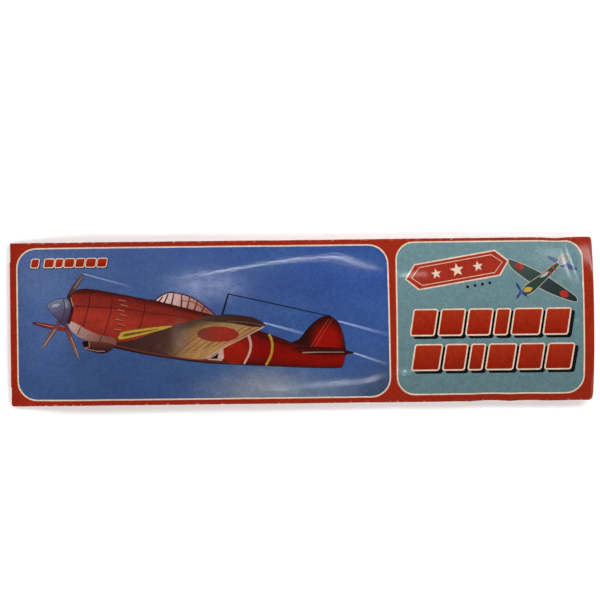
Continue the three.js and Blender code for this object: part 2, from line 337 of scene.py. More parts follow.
def body_paint(x, y, under):
    """The fuselage's round side: brightest just under its middle, dark along both edges and to the tail."""
    across = (y - through(BODY, x, 1)) / through(BODY, x, 2)
    lit = math.exp(-((across + 0.12) ** 2) / 0.4)
    tail = smoothstep(x, -34, -12)
    colour = mix(rgb(118, 34, 26), rgb(162, 50, 36), lit)
    colour = mix(colour, mix(rgb(92, 14, 8), rgb(130, 12, 4), lit), tail)
    streak = noise.noise(Vector((x / 16, y / 1.6, 21)))
    colour = mix(colour, rgb(66, 20, 16), 0.35 * max(0, streak))
    edge = smoothstep(across, lerp(0.78, 0.5, tail), 1.0) + smoothstep(-across, 0.7, 1.0)
    return mix(colour, OUTLINE_RED, 0.85 * edge)


def fin_paint(x, y, under):
    away = math.hypot((x - 9.4) / 7.2, (y + 7.6) / 8.6)
    return mix(rgb(140, 14, 6), rgb(44, 12, 10), smoothstep(away, 0.45, 1.1))


def wing_paint(x, y, under):
    """The wing's underside: ochre to the tip, brown in the shade of its root."""
    colour = mix(BROWN, OCHRE, smoothstep(x - 0.5 * y, -46, -32))
    streak = noise.noise(Vector(((x - y) / 2.2, (x + y) / 18, 13)))
    colour = mix(colour, rgb(112, 62, 40), 0.5 * max(0, streak))
    colour = mix(colour, rgb(92, 88, 62), 0.5 * smoothstep(y, -3.5, 2))
    return mix(colour, rgb(72, 50, 42), 0.9 * smoothstep(y - 0.24 * (x + 40), -3.6, 0.6))


def aeroplane():
    """A plain single-engined low-wing aeroplane flying to the left, a little nose up."""
    white = rgb(190, 198, 232)
    dark = rgb(26, 24, 34)
    layers = [
        trail((-78.2, 18.2), (-60, 13.0), 1.4, white, 0.8),
        trail((-13.4, -0.2), (4, -5.0), 2.0, white, 1.0),
        trail((13.4, 0.1), (31.4, -5.0), 2.0, white, 1.0),
        trail((18.2, -11.2), (31.2, -15.7), 1.8, white, 1.1),
        layer(flat(dark), stroke([(-28.3, 2.4), (-25.9, 10.5)], 0.75, 0.6)),
        layer(flat(dark), stroke([(-26.2, 10.3), (-8, 6.2), (10.2, 1.9)], 0.42, 0.38)),
    ]
    fin = [
        (-3.4, -8.2), (-0.6, -6.2), (2.1, -2.9), (5.5, 0.4), (8.9, 2.0), (10.6, 1.9), (13.6, -0.9),
        (15.2, -5.6), (15.9, -10.0), (15.7, -12.6), (12, -14), (2.8, -13),
    ]
    canopy = [
        (-52.1, 7.7), (-50.2, 9.5), (-47.2, 10.8), (-43.6, 10.4), (-39.2, 9.0), (-35.4, 6.6), (-30.8, 2.8),
        (-36.9, 3.6), (-44.5, 5.4),
    ]
    body = [
        (-82.8, 10.0), (-81.2, 11.6), (-78.6, 12.6), (-73.8, 12.3), (-67.9, 11.2), (-56.5, 8.9),
        (-45.1, 6.3), (-31.5, 2.6), (-17.4, -2.2), (-7.3, -5.9), (0, -8.4), (15.9, -10.4), (15.8, -12.4),
        (14.9, -15.6), (13.2, -16.7), (2.8, -16.5), (-17.6, -15.4), (-35.4, -14.2), (-52.4, -11.6),
        (-65.1, -8.7), (-70.7, -6.4), (-78.3, -4.0), (-82.1, -1.3), (-83.8, 2.4), (-83.8, 7.0),
    ]
    glass = ramp(rgb(214, 190, 184), rgb(146, 94, 86), (-49, 10), (-34, 2))
    layers += [
        layer(flat(dark), grown(curve(fin), 0.12)),
        layer(flat(dark), grown(curve(body), 0.12)),
        layer(fin_paint, curve(fin)),
        layer(glass, curve(canopy)),
        layer(body_paint, curve(body)),
    ]
    return layers + body_details() + near_wing() + nose()


def thin(points, width, colour, end=None, share=None, steps=5):
    """A smooth line; with a share it is a veil."""
    paint = flat(colour) if share is None else veil(colour, share)
    return layer(paint, stroke(curve(points, closed=False, steps=steps), width, end))


def body_details():
    """Canopy frames, cowling rings, louvres, the tail's bands, the rudder lines and the tailplane."""
    dark = rgb(66, 20, 18)
    layers = []
    frames = [
        [(-51.0, 7.6), (-49.4, 9.6)], [(-49.0, 7.1), (-47.4, 10.6)], [(-46.4, 6.3), (-45.4, 10.8)],
        [(-42.8, 5.4), (-42.6, 10.4)], [(-40.8, 5.0), (-39.8, 9.2)], [(-38.2, 4.6), (-37.0, 7.9)],
        [(-35.6, 4.0), (-34.4, 5.9)],
    ]
    layers += [layer(flat(rgb(110, 34, 26)), stroke(line, 0.7, 0.45)) for line in frames]
    rail = [(-42.4, 8.0), (-39.0, 7.6), (-36.0, 6.0), (-33.4, 3.9)]
    roof = [
        (-52.6, 7.8), (-50.3, 9.7), (-47.2, 11.0), (-43.5, 10.6), (-39.1, 9.2), (-35.3, 6.8), (-30.6, 2.8),
    ]
    layers += [thin(rail, 0.35, rgb(128, 52, 42)), thin(roof, 0.45, dark)]
    layers.append(thin([(-54, 8.4), (-45, 6.1), (-37, 4.0), (-30.6, 2.4)], 0.7, dark, 0.5))
    rings = [
        [(-75.5, 12.4), (-76.0, 6.5), (-78.9, -3.4)],
        [(-67.6, 11.1), (-68.0, 4.7), (-71.4, -6.0)],
        [(-56.5, 8.9), (-55.9, 4.6), (-58.4, -2.6)],
    ]
    layers += [thin(ring, 0.3, dark) for ring in rings]
    for i in range(7):
        x, y = lerp(-63.5, -65.1, i / 6), lerp(8.6, -1.8, i / 6)
        side = 0.5 if i % 2 else -0.5
        left, right = x - 1.1 + side, x + 1.3 + side
        layers.append(layer(flat(dark), stroke([(left, y - 0.3), (right, y - 0.9)], 0.4, 0.2)))
        layers.append(layer(flat(rgb(184, 112, 88)), stroke([(left, y), (right, y - 0.6)], 0.3, 0.2)))
    line = [(-82.6, 6.6), (-66.0, 5.6), (-52.0, 3.6), (-38.0, 1.6)]
    layers.append(thin(line, 0.9, rgb(70, 24, 20), 0.4, share=0.4))
    layers.append(thin([(-17, -4.0), (-6, -7.8), (4, -10.2)], 1.0, rgb(60, 10, 8), 0.6, share=0.6))
    disc = ellipse((-23.6, -11.1), 4.4, 4.0)
    layers.append(layer(ramp(rgb(150, 30, 14), rgb(138, 22, 8), (-24, -7), (-24, -15)), disc))
    layers += [
        thin([(-18.9, -4.6), (-18.1, -7.8), (-18.7, -11.2), (-20.6, -14.9)], 0.95, rgb(190, 150, 134), 0.7),
        thin([(-11.5, -4.3), (-10.4, -7.4), (-10.8, -11.6), (-12.8, -15.5)], 0.95, rgb(170, 136, 44), 0.8),
    ]
    for x in (3.3, 4.7):
        layers.append(layer(flat(rgb(176, 78, 48)), stroke([(x, -9.2), (x + 6.7, 1.0)], 0.17, 0.12)))
    layers.append(thin([(-3, -9.8), (5, -9.4), (15.8, -10.0)], 0.8, rgb(46, 12, 10), 0.7, share=0.8))
    tailplane = [(-1.6, -10.6), (4, -10.3), (15.6, -10.6), (19.0, -11.3), (15.6, -11.9), (3, -11.8)]
    layers.append(layer(flat(rgb(46, 14, 12)), curve(tailplane)))
    layers.append(thin([(0.4, -11.1), (6, -11.0), (15.4, -11.1)], 0.5, rgb(164, 112, 100), 0.25))
    return layers


def near_wing():
    """The wing that comes towards the viewer, in the shade at its root, with ribs, a disc and a tip."""
    shade = [
        (-68.6, -7.2), (-58.8, -5.4), (-46.8, -0.9), (-38.3, 1.1), (-31.5, 2.3), (-30, -4), (-40, -12.6),
        (-52.4, -11.4), (-62, -9.4),
    ]
    layers = [layer(ramp(rgb(60, 34, 30), rgb(82, 52, 44), (-64, -8), (-36, 0)), curve(shade))]
    wing = [
        (-52.0, -8.6), (-48.0, -4.4), (-43.0, -0.6), (-36.9, 1.5), (-28.4, 2.8), (-22.5, 2.6), (-16.5, 1.4),
        (-12.9, -1.3), (-17.4, -3.6), (-24.3, -6.8), (-31.1, -11.0), (-34.6, -13.0), (-44, -12.4),
    ]
    layers.append(layer(wing_paint, curve(wing)))
    for i in range(7):
        x = -46 + 3.6 * i
        rib = [(x, -11.6 + 0.75 * i), (x + 11.5, -2.9 + 0.35 * i)]
        layers.append(layer(veil(rgb(104, 34, 24), 0.75), stroke(rib, 0.26)))
    spot = ellipse((-29.8, -4.1), 7.5, 2.8, -2)
    layers.append(layer(ramp(rgb(112, 56, 44), rgb(146, 44, 32), (-37, -4), (-30, -4)), spot))
    tip = [
        (-36.5, 1.0), (-28.4, 2.9), (-22.5, 2.7), (-16.5, 1.5), (-12.8, -1.2), (-17.4, -1.6), (-25, -0.2),
    ]
    layers.append(layer(ramp(rgb(70, 54, 46), rgb(58, 34, 30), (-36, 0), (-20, 0)), curve(tip)))
    layers.append(thin([(-26.5, 0.4), (-20, 0.1), (-13.4, -1.2)], 0.25, rgb(120, 74, 62)))
    light = rgb(190, 156, 138)
    layers.append(layer(flat(light), [(-33.8, -13.2), (-28.0, -9.3), (-27.8, -12.6), (-28.6, -13.7)]))
    layers.append(layer(flat(rgb(34, 18, 16)), [(-33.0, -13.0), (-29.6, -10.9), (-30.1, -12.9)]))
    layers.append(thin([(-34.2, -12.8), (-28.4, -9.3), (-20.4, -5.3), (-13.2, -1.6)], 0.42, light, 0.3))
    belly = [(-68, -7.6), (-56, -10.4), (-44, -12.4), (-32, -13.9), (-22, -14.7)]
    layers.append(thin(belly, 1.1, rgb(112, 50, 38), 0.3, share=0.7))
    layers.append(thin([(x, y - 0.45) for x, y in belly], 0.7, rgb(36, 16, 16), 0.15))
    rod = [(-65.0, -3.9), (-63.9, -5.5), (-47.6, -1.7), (-47.9, -0.9), (-62.6, -2.6)]
    inner = [(-63.6, -4.0), (-62.8, -4.5), (-50.6, -1.9), (-62.0, -3.4)]
    layers += [
        layer(flat(rgb(78, 38, 26)), grown(curve(rod), 0.2)),
        layer(flat(YELLOW), curve(rod)),
        layer(flat(rgb(110, 74, 32)), curve(inner)),
    ]
    return layers


def nose():
    """The chin panel, the scoop, the four blades and the spinner."""
    layers = []
    chin = [
        (-83.6, 1.1), (-80.8, 0.4), (-76.6, -2.0), (-72.3, -3.8), (-67.2, -5.0), (-66.4, -7.4),
        (-70.2, -6.8), (-74.1, -6.3), (-79.1, -4.8), (-82.4, -2.1),
    ]
    layers.append(layer(ramp(rgb(178, 146, 136), rgb(124, 78, 68), (-80, 1), (-72, -7)), curve(chin)))
    for x, y in ((-79.0, -1.0), (-71.4, -4.2)):
        layers.append(layer(flat(rgb(92, 38, 32)), stroke([(x, y), (x - 1.1, y - 2.8)], 0.36)))
    scoop = [
        (-78.6, -6.2), (-76.6, -5.9), (-69.0, -6.8), (-66.9, -7.9), (-68.6, -9.7), (-71.6, -10.6),
        (-76.2, -9.5), (-78.1, -7.9),
    ]
    layers.append(layer(ramp(rgb(104, 54, 46), rgb(38, 18, 16), (-73, -6), (-73, -10.6)), curve(scoop)))
    intake = [(-78.2, -6.3), (-76.2, -6.3), (-76.4, -8.2), (-77.8, -7.8)]
    lip = [(-76.1, -6.0), (-76.0, -8.0), (-77.4, -8.6), (-73.6, -9.6), (-70.4, -9.7)]
    layers += [layer(flat(rgb(26, 14, 14)), curve(intake)), thin(lip, 0.24, rgb(170, 128, 116))]
    blades = [
        ((-83.4, 9.9), (-78.0, 17.9), rgb(72, 40, 38), rgb(96, 78, 76)),
        ((-84.6, -1.9), (-96.6, 0.6), rgb(132, 36, 30), rgb(78, 26, 28)),
        ((-86.0, 1.9), (-93.3, -8.6), rgb(96, 46, 44), rgb(112, 92, 92)),
        ((-84.4, -0.4), (-79.7, -12.6), rgb(104, 40, 38), rgb(120, 104, 104)),
    ]
    for root, tip, near, far in blades:
        layers.append(layer(flat(rgb(50, 24, 26)), grown(lens(root, tip, 1.7, 0.45), 0.12)))
        layers.append(layer(ramp(near, far, root, tip), lens(root, tip, 1.7, 0.45)))
        edge = [Vector(root).lerp(Vector(tip), k) + Vector((0.3, 0.1)) for k in (0.35, 0.92)]
        layers.append(layer(veil(rgb(186, 172, 168), 0.5), stroke([tuple(p) for p in edge], 0.4, 0.2)))
    rim = [(-83.2, 10.4), (-81.9, 6.0), (-83.4, 0.2)]
    layers += [thin(rim, 1.2, rgb(52, 24, 24)), thin([(-82.5, 9.6), (-81.5, 6.4)], 0.3, rgb(176, 128, 108))]
    cone = [
        (-91.2, 6.7), (-90.0, 8.0), (-87.9, 8.9), (-84.9, 9.2), (-83.2, 8.6), (-82.5, 6.2), (-83.1, 3.0),
        (-84.0, 1.0), (-85.4, -0.2), (-87.1, 1.6), (-89.4, 4.1),
    ]
    tone = ramp(rgb(104, 114, 134), rgb(64, 46, 74), (-88, 9), (-86, 1.4))
    layers += [layer(flat(rgb(34, 30, 40)), grown(curve(cone), 0.2)), layer(tone, curve(cone))]
    layers += [
        thin([(-85.3, 9.2), (-84.6, 5.6), (-86.2, 0.6)], 0.3, rgb(52, 40, 54)),
        layer(veil(rgb(170, 182, 200), 0.55), ellipse((-88.0, 6.9), 1.5, 0.55, 12)),
        layer(veil(rgb(170, 160, 156), 0.4), ellipse((-84.0, 7.0), 0.6, 1.2, 0)),
    ]
    return layers


def painted_sheen_patch():
    """A pale patch of painted sheen over the wing's root: the haze of a reflection painted into the colour.
    """
    centre, reach = (-43.5, -4.5), (4.5, 9)

    def paint(x, y, under):
        return mix(under, rgb(150, 136, 134), painted_sheen_share(x, y, centre, reach, 0.4))

    return layer(paint, ellipse(centre, *reach))


def slanted(left, bottom, width, height, slant=0.16, radius=0.5):
    """A block with round corners that leans to the right."""
    box = rounded_box(left, bottom, left + width, bottom + height, radius, 3)
    return [(x + (y - bottom) * slant, y) for x, y in box]


def block_row(left, bottom, widths, height, gap, line, shadow):
    """A row of plain leaning blocks, each with a light line round it, over one dark drop shadow."""
    blocks = []
    x = left
    for width in widths:
        blocks.append(slanted(x, bottom, width, height, radius=min(0.5, height / 6)))
        x += width + gap
    layers = []
    for block in blocks:
        dropped = [(px + shadow[0], py - shadow[1]) for px, py in grown(block, line)]
        layers.append(layer(flat(INK_BLACK), dropped))
    layers += [layer(flat(CREAM), grown(block, line)) for block in blocks]
    top = (left, bottom + height)
    paint = ramp(rgb(160, 46, 22), rgb(140, 28, 8), top, (left, bottom))
    return layers + [layer(paint, block) for block in blocks]


def title_rows():
    """Two rows of plain blocks where a title would be."""
    upper = block_row(39.4, -5.2, (8.0, 8.0, 8.0, 4.4, 9.6, 8.2), 8.8, 1.9, 0.5, (1.2, 1.0))
    lower = block_row(39.8, -17.7, (9.2, 7.2, 4.4, 9.2, 8.2, 8.8), 8.7, 1.9, 0.5, (1.2, 1.0))
    return upper + lower


def small_label():
    """The short row of plain blocks in the sky panel's corner."""
    first = block_row(-97.2, 20.6, (2.6,), 2.9, 0.8, 0.3, (0.3, 0.3))
    rest = block_row(-92.4, 20.6, (3.4, 2.6, 3.4, 3.0, 3.4, 3.2), 2.9, 0.7, 0.3, (0.3, 0.3))
    return first + rest


def badge():
    """A plain bar with pointed ends and three stars, tilted up to the right."""
    centre = (56.2, 17.9)
    tilt = 9.5
    bar = [(-18.4, 0), (-14.6, 4.3), (14.6, 4.3), (18.4, 0), (14.6, -4.3), (-14.6, -4.3)]
    placed = turned(bar, tilt, move=centre)
    inner = turned([(x * 0.9, y * 0.76) for x, y in bar], tilt, move=centre)
    layers = [
        layer(flat(CREAM), grown(placed, 0.5)),
        layer(flat(rgb(156, 42, 24)), placed),
        layer(flat(CREAM), stroke(inner + inner[:1], 0.22)),
    ]
    for offset, radius in ((-7.6, 1.9), (0, 2.5), (7.6, 1.9)):
        spot = turned([(offset, 0)], tilt, move=centre)[0]
        layers.append(layer(flat(CREAM), star(spot, radius, 90 + tilt)))
    for i in range(4):
        spot = turned([(2.6 + 2.7 * i, -6.6)], tilt, move=centre)[0]
        layers.append(layer(flat(INK_BLACK), ellipse(spot, 0.55, 0.55, sides=12)))
    return layers


def small_glider():
    green = rgb(44, 62, 56)
    wing = [
        (74.8, 21.2), (77.0, 20.9), (86.4, 16.4), (96.6, 9.4), (98.9, 7.2), (97.4, 6.2), (86.6, 10.6),
        (76.6, 17.6),
    ]
    tail = [(89.0, 21.8), (90.0, 22.5), (94.6, 20.4), (99.0, 18.4), (98.6, 17.2), (93.6, 18.8)]
    body = [(79.4, 9.4), (80.6, 12.0), (86.2, 15.8), (92.4, 20.4), (93.6, 20.0), (88.2, 14.4), (82.4, 9.2)]
    fin = [(92.4, 20.2), (93.8, 22.8), (95.8, 23.2), (96.4, 21.4), (94.4, 19.6)]
    pale = rgb(196, 184, 164)
    red = rgb(164, 46, 34)
    layers = [
        layer(flat(rgb(58, 74, 118)), curve(tail)),
        layer(flat(pale), grown(curve(wing), 0.2)),
        layer(ramp(rgb(58, 76, 70), rgb(34, 44, 46), (78, 20), (96, 8)), curve(wing)),
        layer(flat(red), ellipse((78.6, 18.9), 1.5, 1.1, -28, 16)),
        layer(flat(red), ellipse((94.4, 8.9), 1.7, 1.2, -28, 16)),
        layer(flat(pale), grown(curve(body), 0.18)),
        layer(flat(green), curve(body)),
        layer(flat(pale), grown(curve(fin), 0.15)),
        layer(flat(rgb(138, 138, 136)), curve(fin)),
        layer(flat(rgb(190, 156, 66)), curve([(79.9, 9.9), (80.6, 11.4), (83.0, 11.2), (82.0, 9.8)])),
        layer(flat(rgb(176, 168, 160)), curve([(85.8, 14.8), (86.8, 15.9), (89.0, 17.2), (88.2, 15.6)])),
    ]
    for x, y in ((89.4, 16.2), (91.0, 17.8)):
        layers.append(layer(flat(red), stroke([(x - 0.9, y + 1.3), (x + 0.8, y - 0.4)], 0.55)))
    for tip in ((77.2, 13.2), (77.2, 7.4), (81.2, 8.2)):
        layers.append(layer(flat(rgb(46, 58, 118)), lens((79.0, 9.8), tip, 0.9, 0.6)))
    layers.append(layer(flat(rgb(66, 78, 134)), ellipse((79.0, 9.8), 0.8, 0.7, sides=14)))
    return layers


# ---- Sheets -------------------------------------------------------------------------------------


def dense(points, step, closed=True):
    """The line with extra points, so that no stretch is longer than a step."""
    made = []
    ends = points[1:] + points[:1] if closed else points[1:]
    for a, b in zip(points, ends):
        count = max(1, math.ceil(math.dist(a, b) / step))
        made += [(lerp(a[0], b[0], k / count), lerp(a[1], b[1], k / count)) for k in range(count)]
    return made if closed else made + [points[-1]]


def crossed(loop, rows):
    """The loop with extra points where it crosses the heights in `rows`."""
    made = []
    for a, b in zip(loop, loop[1:] + loop[:1]):
        made.append(a)
        shares = [(y - a[1]) / (b[1] - a[1]) for y in rows if min(a[1], b[1]) < y < max(a[1], b[1])]
        made += [(lerp(a[0], b[0], share), lerp(a[1], b[1], share)) for share in sorted(shares)]
    return made


def inside_grid(loop, step, rows=()):
    """Evenly spaced points over a loop's box, and rows of points twice as close at the heights `rows`."""
    xs, ys = [p[0] for p in loop], [p[1] for p in loop]
    columns = max(1, round((max(xs) - min(xs)) / step))
    lines = max(1, round((max(ys) - min(ys)) / step))
    heights = [lerp(min(ys), max(ys), j / lines) for j in range(1, lines)] + list(rows)
    points = []
    for j, y in enumerate(heights):
        shift = 0.25 if j % 2 else -0.25
        count = 2 * columns if y in rows else columns
        for i in range(1, count):
            points.append((lerp(min(xs), max(xs), (i + shift) / count), y))
    return points


def triangles(loops, layers, points):
    """Triangles inside loops[0] and outside its other loops, cut along every layer's outlines, and for each
    triangle the numbers of the layers that it lies in."""
    corners, faces, owner = [], [], []
    stack = [("edge", i, loop) for i, loop in enumerate(loops)]
    stack += [("layer", i, outline) for i, (outlines, _) in enumerate(layers) for outline in outlines]
    for kind, number, outline in stack:
        outline = outline if signed_area(outline) > 0 else outline[::-1]
        faces.append(list(range(len(corners), len(corners) + len(outline))))
        corners += [Vector(p) for p in outline]
        owner.append((kind, number))
    corners += [Vector(p) for p in points]
    found, _, tris, _, _, origins = delaunay_2d_cdt(corners, [], faces, 1, 1e-5)
    kept = []
    for tri, origin in zip(tris, origins):
        owners = {owner[i] for i in origin}
        if ("edge", 0) in owners and not any(("edge", i) in owners for i in range(1, len(loops))):
            kept.append((tri, sorted(number for kind, number in owners if kind == "layer")))
    return [(p.x, p.y) for p in found], kept


def rims(tris):
    """The loops round a set of triangles, each with the triangles on its left."""
    edges = {(a, b) for tri in tris for a, b in zip(tri, tri[1:] + tri[:1])}
    following = {a: b for a, b in edges if (b, a) not in edges}
    loops = []
    while following:
        start, at = following.popitem()
        loop = [start]
        while at != start:
            loop.append(at)
            at = following.pop(at)
        loops.append(loop)
    return sorted(loops, key=len, reverse=True)


def printed_face(loops, layers, ground, step, rows=()):
    """A sheet's printed face in the flat: its points, its triangles and each of their corners' colours."""
    loops = [crossed(dense(loop, step), rows) for loop in loops]
    cuts = [([dense(outline, step) for outline in outlines], paint) for outlines, paint in layers]
    points, tris = triangles(loops, cuts, inside_grid(loops[0], step, rows))
    seen, colours = {}, []
    for tri, stack in tris:
        for corner in tri:
            key = (corner, tuple(stack))
            if key not in seen:
                colour = ground
                for number in stack:
                    colour = layers[number][1](*points[corner], colour)
                seen[key] = linear(colour)
            colours += seen[key]
    return points, [tuple(tri) for tri, _ in tris], colours


def walls(upper, lower):
    """Faces between two rings with the same number of corners, facing to the right of the rings' travel."""
    following = zip(upper, upper[1:] + upper[:1], lower, lower[1:] + lower[:1])
    return [(b, a, c, d) for a, b, c, d in following]


CUT_EDGES = 2  # the group of a sheet's cut edges, which keep their own flat shading


def make_piece(name, places, groups, colours, materials, normals=()):
    """An object of one group of faces for each material; the first group has the printed colours."""
    mesh = bpy.data.meshes.new(name)
    mesh.from_pydata([Vector(p) * MM for p in places], [], [face for group in groups for face in group])
    kinds = [kind for kind, group in enumerate(groups) for _ in group]
    for material in materials:
        mesh.materials.append(material)
    mesh.polygons.foreach_set("material_index", kinds)
    if colours:
        attribute = mesh.color_attributes.new("print", "FLOAT_COLOR", "CORNER")
        colours = colours + [1.0] * (4 * len(mesh.loops) - len(colours))
        attribute.data.foreach_set("color", colours)
    mesh.shade_smooth()
    mesh.set_sharp_from_angle(angle=math.radians(40))
    if normals:
        own = [normals[corner.vertex_index] for corner in mesh.loops]
        plain = Vector((0, 0, 0))
        edge = {i for poly in mesh.polygons if poly.material_index == CUT_EDGES for i in poly.loop_indices}
        mesh.normals_split_custom_set([plain if i in edge else n for i, n in enumerate(own)])
    piece = bpy.data.objects.new(name, mesh)
    bpy.context.scene.collection.objects.link(piece)
    return piece


def sheet(
    name, loop, layers, ground, surface, thickness, materials, step=0.9, rows=(), back_step=2.5
):
    """A thin curved sheet. `surface(x, y)` is the place of a point of its printed face; its other face,
    on a coarser grid, and its cut edges are plain."""
    points, tris, colours = printed_face([loop], layers, ground, step, rows)
    rings = rims(tris)
    ring_points = [[points[i] for i in ring] for ring in rings]
    back_points, back = triangles(ring_points, [], inside_grid(ring_points[0], back_step, rows))
    normals = [normal_of(surface, x, y) for x, y in points]
    back_normals = [normal_of(surface, x, y) for x, y in back_points]
    places = [surface(x, y) for x, y in points]
    places += [surface(x, y) - n * thickness for (x, y), n in zip(back_points, back_normals)]

    shift = len(points)
    index = {(round(x, 4), round(y, 4)): i + shift for i, (x, y) in enumerate(back_points)}
    below = {i: index[round(points[i][0], 4), round(points[i][1], 4)] for ring in rings for i in ring}
    edges = [face for ring in rings for face in walls(ring, [below[i] for i in ring])]
    groups = [tris, [tuple(i + shift for i in reversed(tri)) for tri, _ in back], edges]
    return make_piece(name, places, groups, colours, materials, normals + [-n for n in back_normals])


def board(name, loops, layers, ground, low, high, materials, bevel=0.1, step=1.2):
    """A flat board with softly rounded edges; its first loop is its outline, the others are holes."""
    turned_loops = [loops[0] if signed_area(loops[0]) > 0 else loops[0][::-1]]
    turned_loops += [hole if signed_area(hole) < 0 else hole[::-1] for hole in loops[1:]]
    inner = [shifted(dense(loop, step), -bevel) for loop in turned_loops]
    points, tris, colours = printed_face(inner, layers, ground, step)
    count = len(points)
    places = [(x, y, high) for x, y in points] + [(x, y, low) for x, y in points]
    edges = []
    for ring in rims(tris):
        flat_ring = [points[i] for i in ring]
        levels = [list(ring)]
        for angle, side in ((45, high), (90, high), (90, low), (45, low)):
            out = bevel * math.sin(math.radians(angle))
            drop = bevel * (1 - math.cos(math.radians(angle)))
            z = high - drop if side == high else low + drop
            levels.append([len(places) + k for k in range(len(ring))])
            places += [(x, y, z) for x, y in shifted(flat_ring, out)]
        levels.append([i + count for i in ring])
        for upper, lower in zip(levels, levels[1:]):
            edges += walls(upper, lower)
    under = [tuple(i + count for i in reversed(tri)) for tri in tris]
    return make_piece(name, places, [tris, under, edges], colours, materials)


def lathe(name, profile, centre, material, sides=48):
    """A solid turned about an upright axis; the profile's (radius, z) points begin and end on the axis."""
    places = [(centre[0], centre[1], profile[0][1])]
    rings = []
    for radius, z in profile[1:-1]:
        rings.append([len(places) + k for k in range(sides)])
        for k in range(sides):
            a = 2 * math.pi * k / sides
            places.append((centre[0] + radius * math.cos(a), centre[1] + radius * math.sin(a), z))
    places.append((centre[0], centre[1], profile[-1][1]))
    faces = []
    for lower, upper in zip(rings, rings[1:]):
        faces += walls(lower[::-1], upper[::-1])
    first, last = rings[0], rings[-1]
    faces += [(0, b, a) for a, b in zip(first, first[1:] + first[:1])]
    faces += [(len(places) - 1, a, b) for a, b in zip(last, last[1:] + last[:1])]
    return make_piece(name, places, [faces], [], [material])


def carved(piece, others, operation):
    """The piece after a boolean with each of the others, which are used up."""
    for other in others:
        modifier = piece.modifiers.new("boolean", "BOOLEAN")
        modifier.operation = operation
        modifier.solver = "EXACT"
        modifier.object = other
    bpy.context.view_layer.update()
    made = bpy.data.meshes.new_from_object(piece.evaluated_get(bpy.context.evaluated_depsgraph_get()))
    piece.modifiers.clear()
    piece.data = made
    for other in others:
        bpy.data.objects.remove(other)
    made.shade_smooth()
    made.set_sharp_from_angle(angle=math.radians(35))
    return piece


# ---- Materials ----------------------------------------------------------------------------------


class Nodes:
    """A small helper for a material's node tree."""

    def __init__(self, name, roughness, coat=0.0, coat_roughness=0.1, metallic=0.0):
        self.material = bpy.data.materials.new(name)
        self.material.use_nodes = True
        self.tree = self.material.node_tree
        self.surface = self.tree.nodes["Principled BSDF"]
        self.surface.inputs["Roughness"].default_value = roughness
        self.surface.inputs["Coat Weight"].default_value = coat
        self.surface.inputs["Coat Roughness"].default_value = coat_roughness
        self.surface.inputs["Metallic"].default_value = metallic
        self.place = self.tree.nodes.new("ShaderNodeTexCoord").outputs["Object"]

    def link(self, source, target):
        self.tree.links.new(source, target)

    def scaled(self, scale):
        """The object's own coordinates, stretched by a scale for each axis."""
        mapping = self.tree.nodes.new("ShaderNodeMapping")
        mapping.inputs["Scale"].default_value = scale
        self.link(self.place, mapping.inputs["Vector"])
        return mapping.outputs["Vector"]

    def noise(self, scale, detail=3.0, stretch=(1, 1, 1)):
        texture = self.tree.nodes.new("ShaderNodeTexNoise")
        texture.inputs["Scale"].default_value = scale
        texture.inputs["Detail"].default_value = detail
        self.link(self.scaled(stretch), texture.inputs["Vector"])
        return texture.outputs["Fac"]

    def levels(self, value, low, high, to_low=0.0, to_high=1.0):
        node = self.tree.nodes.new("ShaderNodeMapRange")
        self.link(value, node.inputs["Value"])
        for key, number in zip(("From Min", "From Max", "To Min", "To Max"), (low, high, to_low, to_high)):
            node.inputs[key].default_value = number
        return node.outputs["Result"]

    def times(self, a, b):
        node = self.tree.nodes.new("ShaderNodeMath")
        node.operation = "MULTIPLY"
        self.link(a, node.inputs[0])
        self.link(b, node.inputs[1])
        return node.outputs["Value"]

    def blend(self, first, second, share, kind="MIX"):
        """Two colours, each a socket or an sRGB colour, mixed by a socket or a number."""
        node = self.tree.nodes.new("ShaderNodeMix")
        node.data_type = "RGBA"
        node.blend_type = kind
        for socket, value in ((node.inputs[6], first), (node.inputs[7], second)):
            if isinstance(value, tuple):
                socket.default_value = linear(value)
            else:
                self.link(value, socket)
        if isinstance(share, float):
            node.inputs[0].default_value = share
        else:
            self.link(share, node.inputs[0])
        return node.outputs[2]

    def off_middle(self):
        """Distance from the XZ plane."""
        split = self.tree.nodes.new("ShaderNodeSeparateXYZ")
        node = self.tree.nodes.new("ShaderNodeMath")
        node.operation = "ABSOLUTE"
        self.link(self.place, split.inputs["Vector"])
        self.link(split.outputs["Y"], node.inputs[0])
        return node.outputs["Value"]

    def printed(self):
        node = self.tree.nodes.new("ShaderNodeVertexColor")
        node.layer_name = "print"
        return node.outputs["Color"]

    def bump(self, height, depth, strength=0.5):
        node = self.tree.nodes.new("ShaderNodeBump")
        node.inputs["Distance"].default_value = depth * MM
        node.inputs["Strength"].default_value = strength
        self.link(height, node.inputs["Height"])
        self.link(node.outputs["Normal"], self.surface.inputs["Normal"])
        return node.outputs["Normal"]

    def colour(self, socket):
        self.link(socket, self.surface.inputs["Base Color"])

    def rough(self, socket):
        self.link(socket, self.surface.inputs["Roughness"])


